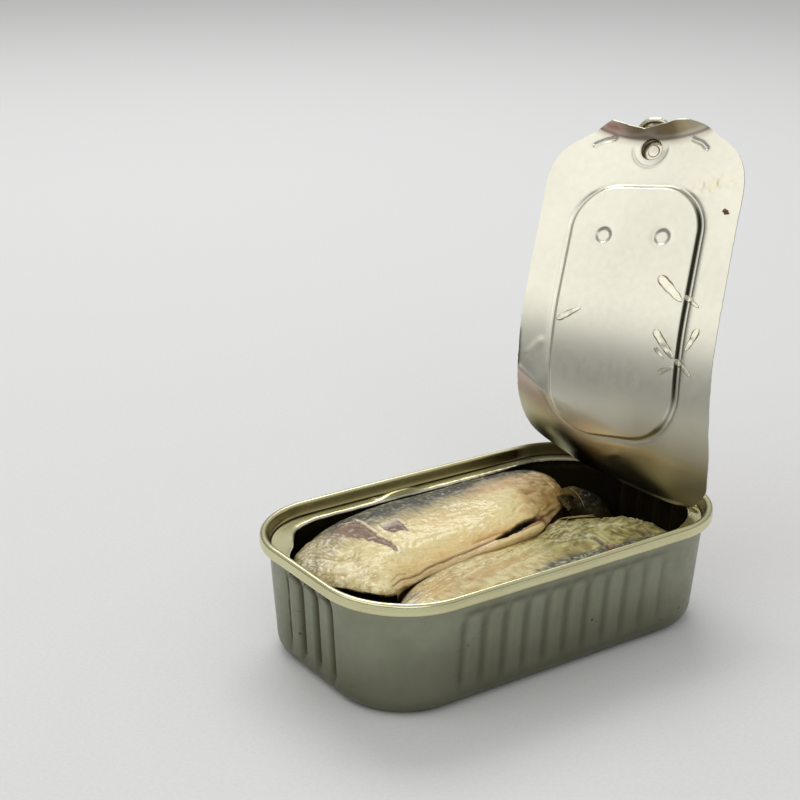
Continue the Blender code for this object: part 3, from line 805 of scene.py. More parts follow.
def build_lid(inner_mat, outer_mat, edge_mat):
    out, pts = lid_points()
    n_out = len(out)
    res = delaunay_2d_cdt([Vector(p) for p in out] + [Vector(p) for p in pts.tolist()],
                          [], [list(range(n_out))], 1, 1e-5)
    uv = np.array([tuple(p) for p in res[0]])
    tris = [tuple(t) for t in res[2]]
    u, v = uv[:, 0], uv[:, 1]
    relief = lid_relief(u, v)
    # the corner at the front stays higher where it tore, and curls
    lift = smooth((-13.0 - v) / 9.0) * smooth((24.0 - u) / 12.0) * smooth((u - 3.2) / 5.0)
    start = smooth((8.0 - u) / 4.0)
    mid = relief - 0.2 * start
    inner = lid_at(u, v, mid - LID_T / 2)
    outer = lid_at(u, v, mid + LID_T / 2)
    for side in (inner, outer):
        side[:, 2] += 1.3 * lift
        side[:, 0] += 0.4 * lift
    # edges of the pattern as it came back from the triangulation
    count = {}
    for a, b, c in tris:
        for e in ((a, b), (b, c), (c, a)):
            count[e] = count.get(e, 0) + 1
    rim = [e for e in count if (e[1], e[0]) not in count]
    n = len(uv)
    faces = [(c, b, a) for a, b, c in tris] + [(a + n, b + n, c + n) for a, b, c in tris]
    index = [0] * len(tris) + [1] * len(tris)
    for a, b in rim:
        faces.append((a, b, b + n, a + n))
        index.append(2)
    # fields that the materials use: how far from the edge, and marks
    dist = -poly_sdf(u, v, out)
    bead = bead_sdf(u, v)
    p3 = np.stack([u, v, 0 * u], -1)
    # low: the lower part of the sheet painted darker, which is painted shade
    low = smooth((34 - u + 5 * noise(p3, 9.0, 41)) / 26)
    # lip: the curled lip painted dark, which is painted shade; the glow on its wings is a painted highlight
    lip = smooth((u - lip_start(v) + 1.5) / 3.6) * smooth((17.4 - np.abs(v)) / 3.4)
    shade = noise(p3, 4.0, 43)
    glow = lip * np.clip(0.95 * smooth((np.abs(v - 0.5) - 5.0) / 5.0) * smooth((15.8 - np.abs(v)) / 3.0)
                         + 0.25 * shade, 0, 1)
    # along the crease at the lower left a pink band is a painted reflection and the band beyond it painted shade; the
    # other pink spots are a tint
    below = (u - 29.4) - (v - 17.2) * 0.93
    rose = 0.95 * smooth((0.6 - below) / 1.0) * smooth((below + 9.5) / 6.0) * smooth((v - 15.5) / 4.0)
    dim_shade = 0.5 * smooth((below + 0.4) / 1.0) * smooth((7.5 - below) / 5.0) * smooth((v - 15.5) / 4.0)
    rose = rose + 0.55 * np.exp(-((u - 24.0) / 3.0) ** 2 - ((v - 8.0) / 8.0) ** 2)
    rose = rose + 0.75 * np.exp(-((u - 100.0) / 1.6) ** 2 - ((v - 11.0) / 3.2) ** 2)
    blush = 0.85 * np.exp(-((u - 100.0) / 1.7) ** 2 - ((v - 10.6) / 3.6) ** 2) * lip
    amber = np.exp(-((u - 85.2 + 0.10 * (v + 18)) / 2.2) ** 2 - ((v + 18.5) / 5.6) ** 2)
    amber = amber * np.clip(0.55 + 0.9 * noise(p3, 1.6, 44), 0, 1)
    print_ = np.minimum(dist - 3.6, 0.5 * (u - 16.0))
    # painted shade in the folds: beside the bead's wall, round the rivet and on one side of each dimple, over the
    # lower left of the sheet and along its edge at the back
    rr = np.hypot(u - RIVET_U, v)
    painted_lid_shade = 0.95 * np.exp(-((bead + 0.05) / 0.42) ** 2) * smooth((-v - BEAD_HW + 3.5) / 3.0) \
        * smooth((84.0 - u) / 8.0) * smooth((u - 27.0) / 10.0)
    painted_lid_shade = painted_lid_shade + 0.45 * np.exp(-((bead + 0.1) / 0.26) ** 2)
    side = smooth(((u - RIVET_U) * 0.6 + v * 0.8 + 1.2) / 2.4)
    painted_lid_shade = painted_lid_shade + 1.1 * np.exp(-((rr - 2.35) / 0.5) ** 2) * (0.30 + 0.70 * side)
    painted_lid_shade = painted_lid_shade + 0.22 * np.exp(-((rr - 4.8) / 0.3) ** 2) * smooth((RIVET_U + 1.0 - u) / 2.0)
    for cu, cv in DIMPLES:
        rr = np.hypot(u - cu, v - cv)
        side = smooth(((u - cu) * 0.6 + (v - cv) * 0.8 + 0.6) / 1.6)
        painted_lid_shade = painted_lid_shade + 0.40 * np.exp(-((rr - 1.9) / 0.35) ** 2) * side
    low = np.clip(low + 0.5 * smooth((27 - u) / 10) * smooth((v - 2) / 14), 0, 1.25)
    painted_lid_shade = np.clip(painted_lid_shade + 0.97 * smooth((25 - u + 2 * shade) / 10) * smooth((v - 3) / 12), 0, 1)
    edge_line = np.exp(-(dist / 0.45) ** 2) * smooth((v - 20) / 2) * smooth((48 - u) / 3) * smooth((u - 36) / 2)
    painted_lid_shade = np.clip(painted_lid_shade + 0.9 * edge_line + 0.45 * dim_shade * (0.7 + 0.6 * shade), 0, 1)
    vals = {
        "painted_lid_shade": np.concatenate([painted_lid_shade, 0 * painted_lid_shade]),
        "low": np.concatenate([low, low]),
        "lip": np.concatenate([lip, 0 * lip]),
        "field": np.concatenate([print_, print_]),
        "rose": np.concatenate([rose, 0 * rose]),
        "liplight": np.concatenate([glow, 0 * glow]),
        "blush": np.concatenate([blush, 0 * blush]),
        "amber": np.concatenate([amber, 0 * amber]),
        "pat_u": np.concatenate([u, u]),
        "pat_v": np.concatenate([v, v]),
    }
    verts = np.concatenate([inner, outer])
    lid = make("lid_sheet", verts, faces, [inner_mat, outer_mat, edge_mat], None,
               None, index, vals, sharp=50)
    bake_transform(lid)
    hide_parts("lid")
    return lid


SMEARS = (
    (((60.6, -10.1), (58.4, -12.6), (56.0, -15.4)), 1.25), (((56.6, -17.1), (55.2, -19.0), (54.6, -20.0)), 0.6),
    (((47.4, -11.2), (44.8, -13.4), (42.2, -15.8)), 1.0), (((43.6, -11.6), (41.8, -13.6)), 0.55),
    (((41.0, -17.2), (39.4, -18.9), (38.1, -20.4)), 0.7), (((48.5, -21.0), (46.4, -20.2), (44.2, -19.1)), 0.8),
    (((38.2, -13.3), (38.9, -14.8), (39.4, -16.2)), 0.62), (((49.5, 15.6), (50.8, 13.2), (52.2, 10.6)), 0.72))


def build_smears(mat):
    """Drops and runs of oil on the lid's inner face, each with a rounded edge."""
    verts, faces, marks = [], [], []
    for pts, hw in SMEARS:
        pts = np.array(pts)
        seg = np.linalg.norm(np.diff(pts, axis=0), axis=1)
        run = np.concatenate([[0], np.cumsum(seg)])
        total = run[-1]
        ts = np.linspace(-hw, total + hw, 46)
        u = np.interp(ts, run, pts[:, 0])
        v = np.interp(ts, run, pts[:, 1])
        du = np.gradient(np.interp(np.clip(ts, 0, total), run, pts[:, 0]) + 1e-9 * ts)
        dv = np.gradient(np.interp(np.clip(ts, 0, total), run, pts[:, 1]))
        d0 = (pts[1] - pts[0]) / seg[0]
        d1 = (pts[-1] - pts[-2]) / seg[-1]
        tu = np.interp(ts, [0, total], [d0[0], d1[0]])
        tv = np.interp(ts, [0, total], [d0[1], d1[1]])
        k = np.hypot(tu, tv)
        tu, tv = tu / k, tv / k
        over = np.where(ts < 0, ts, np.where(ts > total, ts - total, 0))
        u, v = u + tu * over, v + tv * over
        wide = hw * np.sqrt(np.clip(1 - (over / hw) ** 2, 0.0, 1))
        taper = np.clip(ts / total, 0, 1)
        whole = (ts + hw) / (total + 2 * hw)
        rise = np.sqrt(np.clip(1 - np.clip(1 - whole / 0.24, 0, 1) ** 2, 0, 1))
        tail = np.sqrt(np.clip(1 - np.clip((whole - 0.72) / 0.28, 0, 1) ** 2, 0, 1))
        wide = hw * rise * tail * (1.08 - 0.42 * np.clip((whole - 0.2) / 0.7, 0, 1)) * (1 + 0.16 * noise(np.stack([u, v, 0 * u], -1), 1.5, 44)) + 0.02
        w = np.linspace(-1, 1, 15)
        uu = u[:, None] - tv[:, None] * w * wide[:, None]
        vv = v[:, None] + tu[:, None] * w * wide[:, None]
        low = np.clip(1 - (over / hw) ** 2, 0, 1)[:, None]
        e = np.clip(1 - w[None] ** 2, 0, 1) * low
        p = np.stack([uu, vv, 0 * uu], -1)
        h = 0.17 * np.clip(e * 2.6, 0, 1) ** 0.5 * (0.8 + 0.35 * noise(p, 1.1, 45))
        base = lid_relief(uu, vv) - LID_T / 2
        top = lid_at(uu, vv, base - h - 0.01)
        start = len(verts)
        rows, cols = uu.shape
        verts += top.reshape(-1, 3).tolist()
        back = lid_at(uu, vv, base + 0.02)
        verts += back.reshape(-1, 3).tolist()
        rim = np.maximum(smooth((np.abs(w)[None] - 0.60) / 0.18) + 0 * low,
                         smooth((0.42 - low) / 0.25))
        rim = rim * np.clip(0.75 + 0.9 * noise(p, 1.3, 47) - 0.3 * taper[:, None], 0, 1)
        marks += np.concatenate([rim.ravel(), rim.ravel()]).tolist()
        n = rows * cols
        for i in range(rows - 1):
            for j in range(cols - 1):
                a, b = start + i * cols + j, start + i * cols + j + 1
                c, d = b + cols, a + cols
                faces.append((a, b, c, d))
                faces.append((d + n, c + n, b + n, a + n))
        edge = [i * cols for i in range(rows)] + \
            [(rows - 1) * cols + j for j in range(1, cols)] + \
            [i * cols + cols - 1 for i in range(rows - 2, -1, -1)] + \
            [j for j in range(cols - 2, 0, -1)]
        for a, b in zip(edge, edge[1:] + edge[:1]):
            faces.append((start + a, start + b, start + b + n, start + a + n))
    return make("oil_runs_on_lid", verts, faces, [mat], "lid_flap", None,
                values={"rim": np.array(marks)})


def build_crumb(mat):
    """A brown flake of skin stuck near the lid's edge."""
    m, n = 14, 22
    verts = []
    for i in range(m):
        a = math.pi / 2 * i / (m - 1)
        for j in range(n):
            t = 2 * math.pi * j / n
            r = 0.85 * math.cos(a) * (1 + 0.28 * math.sin(2 * t + 0.5) + 0.16 * math.sin(5 * t))
            u, v = 78.4 + 0.75 * r * math.cos(t), -22.7 + 1.1 * r * math.sin(t)
            verts.append((u, v, 0.55 * math.sin(a)))
    q = np.array(verts)
    h = q[:, 2] * (1 + 0.25 * noise(q, 0.5, 46))
    p = lid_at(q[:, 0], q[:, 1], lid_relief(q[:, 0], q[:, 1]) - LID_T / 2 - h + 0.03)
    faces = ring_faces(m, n)
    faces.append(tuple(range(n)))
    faces.append(tuple(reversed(range((m - 1) * n, m * n))))
    return make("skin_flake_on_lid", p, faces, [mat], "lid_flap", None)


# ---- the pull ring -------------------------------------------------------------
TAB_LIFT = math.radians(30.0)
TAB_NOSE, TAB_TAIL, TAB_HW = 8.2, 19.0, 9.0
PIVOT_A = -2.9


def oval(a0, a1, hw, n, power=2.6, taper=0.0):
    mid, half = (a0 + a1) / 2, (a1 - a0) / 2
    w = 2 * np.pi * np.arange(n) / n
    c, s = np.cos(w), np.sin(w)
    x = np.sign(c) * np.abs(c) ** (2 / power)
    y = np.sign(s) * np.abs(s) ** (2 / power)
    return np.stack([mid + half * x, hw * y * (1 - taper * (1 - x) / 2)], -1)


def resample(loop, step):
    d = np.linalg.norm(np.roll(loop, -1, 0) - loop, axis=1)
    s = np.concatenate([[0], np.cumsum(d)])
    n = int(s[-1] / step)
    t = np.linspace(0, s[-1], n, endpoint=False)
    ext = np.concatenate([loop, loop[:1]])
    return np.stack([np.interp(t, s, ext[:, 0]), np.interp(t, s, ext[:, 1])], -1)


def plate_mesh(outer, holes, to_world, height, t_edge, step=0.45):
    """A plate with rolled edges: height(d, a, b) gives its half thickness at a
    distance d from the nearest edge."""
    loops = [resample(outer, step)] + [resample(h, step) for h in holes]
    pts, faces_in, count = [], [], 0
    for k, lp in enumerate(loops):
        ids = list(range(count, count + len(lp)))
        count += len(lp)
        faces_in.append(ids)
        pts += lp.tolist()
    fixed = count
    more = []
    for k, lp in enumerate(loops):
        tan = np.roll(lp, -1, 0) - np.roll(lp, 1, 0)
        nrm = np.stack([tan[:, 1], -tan[:, 0]], -1)
        nrm /= np.linalg.norm(nrm, axis=1, keepdims=True)
        for d in (0.05, 0.14, 0.28, 0.46, 0.7, 0.95, 1.25, 1.55):
            more += (lp - nrm * d * (1 if k == 0 else -1)).tolist()
    lo, hi = outer.min(0), outer.max(0)
    for a in np.arange(lo[0], hi[0], 0.5):
        for b in np.arange(lo[1], hi[1], 0.5):
            more.append([a, b])
    more = np.array(more)
    d = poly_sdf(more[:, 0], more[:, 1], loops[0].tolist())
    for lp in loops[1:]:
        d = np.maximum(d, -poly_sdf(more[:, 0], more[:, 1], lp.tolist()))
    more = more[d < -0.03]
    res = delaunay_2d_cdt([Vector(p) for p in pts] + [Vector(p) for p in more.tolist()],
                          [], faces_in[:1] + [f[::-1] for f in faces_in[1:]], 1, 1e-4)
    ab = np.array([tuple(p) for p in res[0]])
    cen = np.array([ab[list(t)].mean(0) for t in res[2]])
    good = np.ones(len(cen), bool)
    for lp in loops[1:]:
        good &= poly_sdf(cen[:, 0], cen[:, 1], lp.tolist()) > 0
    tris = [tuple(t) for t, ok in zip(res[2], good) if ok]
    dist = -poly_sdf(ab[:, 0], ab[:, 1], loops[0].tolist())
    for lp in loops[1:]:
        dist = np.minimum(dist, poly_sdf(ab[:, 0], ab[:, 1], lp.tolist()))
    dist = np.maximum(dist, 0)
    up, down = height(dist, ab[:, 0], ab[:, 1])
    top = to_world(ab[:, 0], ab[:, 1], up)
    bot = to_world(ab[:, 0], ab[:, 1], down)
    n = len(ab)
    cnt = set()
    for a, b, c in tris:
        cnt.update(((a, b), (b, c), (c, a)))
    rim = [e for e in cnt if (e[1], e[0]) not in cnt]
    faces = tris + [(c + n, b + n, a + n) for a, b, c in tris]
    faces += [(b, a, a + n, b + n) for a, b in sorted(rim)]
    return np.concatenate([top, bot]), faces, ab, dist


def build_tab(mat):
    o, au, av, n = (np.array(q) for q in lid_frame(RIVET_U, 0.0))
    down = -au
    base = o + n * 0.46
    lifted = down * math.cos(TAB_LIFT) + n * math.sin(TAB_LIFT)
    out = n * math.cos(TAB_LIFT) - down * math.sin(TAB_LIFT)
    pivot = base + down * PIVOT_A

    def plate(a, b, t):
        return (pivot + np.outer(a - PIVOT_A, lifted) + np.outer(b, av) + np.outer(t, out))

    def island(a, b, t):
        return base + np.outer(a, down) + np.outer(b, av) + np.outer(t, n)

    def rolled(d, a, b):
        roll = np.sqrt(np.clip(1 - ((0.8 - np.minimum(d, 0.8)) / 0.8) ** 2, 0, 1))
        web = 0.30 + 0.0 * d
        half = np.where(d < 0.8, 0.74 * roll, web + (0.74 - web) * smooth((1.45 - d) / 0.65))
        mark = 0.10 * np.exp(-((b / 1.2) ** 2)) * np.exp(-((a - 5.6) / 0.35) ** 2)
        return 0.75 + half + mark, 0.75 - half

    v1, f1, ab, dist = plate_mesh(
        oval(-TAB_NOSE, TAB_TAIL, TAB_HW, 240, 2.5, 0.28),
        [oval(PIVOT_A, 4.9, 4.6, 120, 3.5), oval(6.6, 16.6, 6.4, 160, 2.3)], plate, rolled, 0.7)

    def flat(d, a, b):
        half = 0.23 * np.sqrt(np.clip(1 - ((0.2 - np.minimum(d, 0.2)) / 0.2) ** 2, 0, 1))
        return 0.24 + half, 0.24 - half

    ring_hole = np.stack([3.15 * np.cos(2 * np.pi * np.arange(48) / 48),
                          3.15 * np.sin(2 * np.pi * np.arange(48) / 48)], -1)
    v2, f2, _, _ = plate_mesh(oval(PIVOT_A - 1.6, 3.9, 3.9, 140, 3.0), [ring_hole * 0.93],
                              island, flat, 0.4, 0.35)
    # rivet head over the island
    prof = ((2.55, 0.2), (2.7, 0.95), (3.35, 1.0), (3.55, 1.12), (3.5, 1.3), (3.1, 1.42),
            (2.5, 1.36), (1.9, 1.30), (1.2, 1.32), (0.5, 1.34))
    rows = []
    for r, h in prof:
        a = 2 * np.pi * np.arange(48) / 48
        rows.append(base + np.outer(r * np.cos(a), down) + np.outer(r * np.sin(a), av)
                    + n * (h - 0.30))
    g = np.array(rows)
    f3 = ring_faces(len(prof), 48, flip=True)
    f3.append(tuple(range((len(prof) - 1) * 48, len(prof) * 48)))
    verts = np.concatenate([v1, v2, g.reshape(-1, 3)])
    k2, k3 = len(v1), len(v1) + len(v2)
    faces = f1 + [tuple(i + k2 for i in f) for f in f2] + [tuple(i + k3 for i in f) for f in f3]
    return make("pull_ring_rolled", verts, faces, [mat], "lid_flap", "pull_ring",
                sharp=55)


# ---- the fish ------------------------------------------------------------------
FLOOR_Z = 1.2


def line_dist3(p, pts):
    """Distance in mm from points to an open line in space, and how far along."""
    best, at = np.full(p.shape[:-1], 1e9), np.zeros(p.shape[:-1])
    seg = [math.dist(a, b) for a, b in zip(pts, pts[1:])]
    total, run = sum(seg), 0.0
    for (a, b), length in zip(zip(pts, pts[1:]), seg):
        a, e = np.array(a), np.array(b) - np.array(a)
        t = np.clip(((p - a) @ e) / (length * length), 0, 1)
        d = np.linalg.norm(p - a - t[..., None] * e, axis=-1)
        near = d < best
        best = np.where(near, d, best)
        at = np.where(near, (run + t * length) / total, at)
        run += length
    return best, at


def spot(p, at, rx, ry, rz=3.0):
    """A soft patch: 1 in the middle."""
    q = ((p - np.array(at)) / np.array((rx, ry, rz))) ** 2
    return np.exp(-q.sum(-1))


class Fish:
    """low(x) and high(x) bound it in plan, mid(x) is the crest line and top(x)
    the crest's height; the widest level differs on the two sides."""

    def __init__(self, x0, x1, low, high, mid, top, waist_low, waist_high, powers, ends,
                 edge=None):
        self.x0, self.x1, self.low, self.high, self.mid = x0, x1, low, high, mid
        self.top, self.wl, self.wh, self.powers, self.ends = (top, waist_low, waist_high,
                                                              powers, ends)
        self.edge = edge

    def grid(self, n, m):
        t = np.linspace(0, 1, n)
        # tighter stations at both ends
        t = t - 0.085 * np.sin(2 * np.pi * t)
        x = self.x0 + (self.x1 - self.x0) * t
        top_n = int(m * 0.8)
        w = np.concatenate([np.linspace(-0.25, math.pi + 0.35, top_n, endpoint=False),
                            np.linspace(math.pi + 0.35, 2 * math.pi - 0.25, m - top_n,
                                        endpoint=False)])
        c, s = np.cos(w)[None], np.sin(w)[None]
        k = self.ends(x)[:, None]
        lo, hi, mid, top, wl, wh = (f(x)[:, None] for f in (self.low, self.high, self.mid,
                                                            self.top, self.wl, self.wh))
        high_side = c >= 0
        up = s >= 0
        pu_h, pu_l, pd_l, pd_h = self.powers
        p = np.where(up, np.where(high_side, pu_h, pu_l), np.where(high_side, pd_h, pd_l))
        y = np.sign(c) * np.abs(c) ** (2 / p) * np.where(high_side, hi - mid, mid - lo) * k
        zc = np.where(high_side, wh, wl)
        core = 14.0
        zc = core + (zc - core) * (0.3 + 0.7 * k)
        if self.edge:
            p = np.where(up & ~high_side, self.edge, p)
        z = np.sign(s) * np.abs(s) ** (2 / p) * np.where(
            up, (core + (top - core) * (0.3 + 0.7 * k)) - zc,
            zc - (core + (FLOOR_Z - core) * (0.45 + 0.55 * k)))
        g = np.stack([x[:, None] + 0 * y, mid + y, zc + z], -1)
        n_ = grid_normals(g)
        if np.sum((g - g.mean(axis=1, keepdims=True)) * n_) < 0:
            g = g[:, ::-1].copy()
            n_ = grid_normals(g)
        return g, n_


def dome(x, x0, x1, r0, r1, least0, least1):
    a = np.sqrt(np.clip(1 - np.clip(1 - (x - x0) / r0, 0, 1) ** 2, 0, 1))
    b = np.sqrt(np.clip(1 - np.clip(1 - (x1 - x) / r1, 0, 1) ** 2, 0, 1))
    return np.minimum(least0 + (1 - least0) * a, least1 + (1 - least1) * b)


def lin(rgb):
    """A display colour 0..255 as linear numbers."""
    c = np.array(rgb, float) / 255
    return np.where(c <= 0.04045, c / 12.92, ((c + 0.055) / 1.055) ** 2.4)


def paint(col, mask, rgb):
    return col + (lin(rgb) - col) * np.clip(mask, 0, 1)[..., None]


def scales(a, b, la, lb):
    """Lines of overlapping scales: 1 on a scale's free edge."""
    row = np.floor(b / lb)
    best = np.zeros(np.shape(a))
    for dr in (-1, 0, 1):
        r = row + dr
        off = np.where(np.mod(r, 2) == 0, 0.0, 0.5)
        fa = np.mod(a / la + off, 1.0) - 0.5
        fb = (b / lb - r) - 0.5
        d = np.hypot(fa * 1.15, fb * 0.62)
        line = np.exp(-((d - 0.47) / 0.045) ** 2) * (fa > -0.1)
        best = np.maximum(best, line)
    return best


def terraces(t, sharp=0.8):
    f = t - np.floor(t)
    return np.floor(t) + smooth((f - sharp) / (1 - sharp))


def turned(g, deg):
    """Coordinates turned about the vertical, for grain that runs askew."""
    a = math.radians(deg)
    return g @ np.array([[math.cos(a), math.sin(a), 0], [-math.sin(a), math.cos(a), 0],
                         [0, 0, 1.0]])


def build_fish_mesh(name, g, colour, extra, node, mat, gain=1.0):
    rows, cols = g.shape[:2]
    faces = ring_faces(rows, cols, flip=False)
    faces.append(tuple(reversed(range(cols))))
    faces.append(tuple(range((rows - 1) * cols, rows * cols)))
    tone = np.maximum(colour.reshape(-1, 3) * gain, 0)
    tone = tone / np.maximum(tone.max(axis=1, keepdims=True) / 0.95, 1.0)
    return make(name, g.reshape(-1, 3), faces, [mat], "tin", node, None,
                extra, {"tone": tone})


SEAM_LINE = ((-47.6, 9.5), (-46.6, 5.0), (-45.4, 1.8), (-43.9, -0.3), (-42.5, -2.6),
             (-41.3, -4.9), (-40.1, -7.2), (-38.4, -9.8), (-36.0, -10.4), (-33.0, -9.0),
             (-29.5, -7.4), (-18.3, -4.7), (-4.9, -3.0), (8.4, -2.2), (15.0, -0.6),
             (18.5, 1.6), (22.0, 4.0), (26.0, 6.2), (30.5, 8.6), (34.5, 12.2), (37.2, 18.0))
BACK_LINE = ((-46.0, 14.0), (-41.0, 17.2), (-37.0, 19.8), (-33.0, 21.8), (-28.0, 23.2),
             (-20.0, 24.5), (-9.0, 24.5), (3.0, 24.3), (17.0, 24.0), (25.0, 23.0),
             (30.0, 21.5))
TEAR_A = ((-29.9, 19.9), (-27.8, 19.2), (-25.6, 18.6), (-25.2, 16.9), (-25.4, 13.3),
          (-25.3, 9.3), (-24.5, 6.3), (-24.7, 3.0), (-25.1, 1.3), (-26.0, 3.0), (-26.9, 5.3),
          (-28.0, 8.0), (-29.3, 11.3), (-31.2, 13.4), (-31.9, 16.6))
TEAR_B = ((-23.0, 13.1), (-21.3, 12.7), (-19.1, 12.9), (-16.9, 14.0), (-17.5, 10.1),
          (-18.2, 7.3), (-19.3, 8.9), (-21.6, 8.2), (-22.0, 9.4), (-22.4, 10.6))
SLIT = ((0.2, -1.7), (2.6, -1.3), (5.6, -0.7), (9.0, 0.4), (12.4, 1.2), (15.6, 1.9),
        (16.6, 1.3), (13.6, 0.2), (10.0, -0.7), (6.6, -1.6), (3.4, -1.9), (0.6, -1.9))


def big_fish(mat):
    low = lambda x: curve(x, SEAM_LINE)
    high = lambda x: curve(x, ((-47.6, 12.5), (-44.7, 16.2), (-41.4, 19.4), (-37.3, 22.0),
                               (-32.8, 24.0), (-28.6, 25.3), (-24.0, 26.2), (-19.0, 26.9),
                               (18.0, 26.9), (26.0, 26.2), (32.0, 24.4), (37.2, 20.5)))
    mid = lambda x: 0.44 * low(x) + 0.56 * high(x)
    top = lambda x: curve(x, ((-47.6, 23.2), (-44.0, 24.3), (-38.0, 25.2), (-30.0, 26.1),
                              (-20.0, 26.7), (-8.0, 26.9), (18.0, 26.9), (27.0, 26.5),
                              (32.5, 25.4), (37.2, 21.8)))
    wl = lambda x: curve(x, ((-47.6, 21.8), (-38.0, 22.6), (-34.0, 22.0), (-28.0, 21.0),
                             (20.0, 21.0), (30.0, 18.0), (37.2, 16.0)))
    wh = lambda x: 16.5 + 0 * x
    f = Fish(-47.6, 37.2, low, high, mid, top, wl, wh, (4.2, 2.2, 3.0, 3.0),
             lambda x: dome(x, -47.6, 37.2, 2.0, 5.5, 0.35, 0.12), edge=1.4)
    g, n = f.grid(360, 260)
    x, y, z = g[..., 0], g[..., 1], g[..., 2]
    up = smooth((n[..., 2] - 0.05) / 0.4)
    crown = smooth((z - 19.5) / 1.5)
    # tears wander a little
    wx = x + 0.42 * noise(g, 1.1, 51) + 0.22 * noise(g, 0.45, 52)
    wy = y + 0.42 * noise(g, 1.1, 53) + 0.22 * noise(g, 0.45, 54)
    tear_a, tear_b = poly_sdf(wx, wy, TEAR_A), poly_sdf(wx, wy, TEAR_B)
    slit = poly_sdf(x + 0.5 * (wx - x), y + 0.4 * (wy - y), SLIT)
    seam = y - low(x)
    back = curve(x, BACK_LINE) - y
    rough_end = smooth((-28.5 - x + 0.18 * (y - 12) + 2.2 * noise(g, 4.0, 55)) / 4.5)
    flap, flap_at = line_dist3(g, ((-6.7, -3.2, 21.6), (-2.0, -3.2, 21.8), (4.0, -2.6, 22.0),
                                   (9.9, -1.6, 22.2), (16.5, 0.2, 22.2)))

    # relief, in mm along the normal
    d = 0.30 * noise(g, (16, 9, 9), 61) * up
    d = d + 0.09 * noise(g, (4.0, 1.5, 3.0), 62) + 0.06 * noise(g, (1.7, 0.7, 1.2), 63)
    d = d + 0.035 * noise(g, 0.5, 64)
    net = scales(x + 0.35 * noise(g, 3.0, 65), y + 0.3 * noise(g, 3.0, 66), 2.1, 1.6)
    net_zone = smooth((17.0 - back) / 8.0) * smooth((14 - x) / 14) * up
    d = d - 0.07 * net * (0.30 + 0.70 * net_zone) * up
    fl = 2.0 * fbm(g, (1.9, 1.9, 2.2), 3, 67) + 0.10 * x
    streaky = noise(turned(g, -38), (3.2, 0.75, 1.2), 59)
    d = d + rough_end * up * (0.08 * (terraces(fl * 1.3) - fl * 1.3) + 0.10 * streaky
                              + 0.02 * noise(g, 0.7, 68) + 0.24 * noise(g, 3.0, 60))
    lip_a = np.exp(-((tear_a - 0.35) / 0.38) ** 2) * crown
    frayed = smooth(noise(g, 1.0, 74) / 0.5 + 0.6)
    d = d + 0.24 * lip_a * frayed * smooth((x + 29) / 3)
    d = d - 0.42 * smooth((0.1 - tear_a) / 0.5) * crown
    d = d + 0.20 * np.exp(-((tear_b - 0.3) / 0.35) ** 2) * crown * frayed
    d = d - 0.36 * smooth((0.1 - tear_b) / 0.5) * crown
    d = d - 2.4 * smooth((0.15 - slit) / 0.6) * crown
    d = d + 0.55 * np.exp(-(flap / 0.85) ** 2) * smooth((flap_at - 0.03) / 0.2)
    ripple = noise(np.stack([x, 0 * x, 0 * x], -1), 4.0, 69)
    d = d + 0.35 * ripple * smooth((1.8 - np.abs(seam)) / 1.8) * smooth((x + 34) / 4) * crown
    fold, _ = line_dist3(g, ((29.0, 15.5, 26.0), (29.5, 11.9, 24.9), (30.2, 10.3, 23.2),
                             (31.8, 10.7, 21.1)))
    d = d - 0.35 * np.exp(-(fold / 0.40) ** 2)
    for pts, deep in ((((9.9, 3.9, 25.3), (13.1, 5.8, 25.9), (15.0, 6.5, 25.9),
                        (16.9, 5.9, 25.3)), 0.30),
                      (((7.0, 2.4, 24.9), (10.6, 3.7, 25.2), (12.4, 3.4, 25.0)), 0.25),
                      (((18.5, 9.5, 26.1), (23.9, 11.2, 25.8), (27.1, 10.6, 24.8)), 0.22),
                      (((19.0, 4.6, 24.4), (22.0, 6.4, 24.2), (25.6, 7.6, 23.6)), 0.24),
                      (((-6.1, 15.5, 26.8), (-3.3, 10.9, 26.8), (1.0, 9.7, 26.7)), 0.10)):
        q, _ = line_dist3(g + 0.25 * noise(g, 1.0, 75)[..., None], pts)
        d = d - deep * np.exp(-(q / 0.42) ** 2)
    vflap, _ = line_dist3(g, ((-42.3, 5.2, 23.9), (-40.1, 6.9, 24.4), (-39.8, 4.4, 24.4),
                              (-41.3, 1.4, 23.5), (-43.0, -0.2, 22.8)))
    d = d + 0.38 * np.exp(-(vflap / 0.6) ** 2)
    bones = np.minimum(line_dist3(g, ((-40.4, -3.4, 23.3), (-37.7, -2.7, 24.0),
                                      (-34.4, -1.6, 24.4), (-30.2, -0.7, 24.6)))[0],
                       line_dist3(g, ((-38.4, -1.2, 24.2), (-34.9, -0.9, 24.5),
                                      (-31.6, -0.4, 24.6)))[0])
    d = d + 0.20 * np.exp(-(bones / 0.28) ** 2)
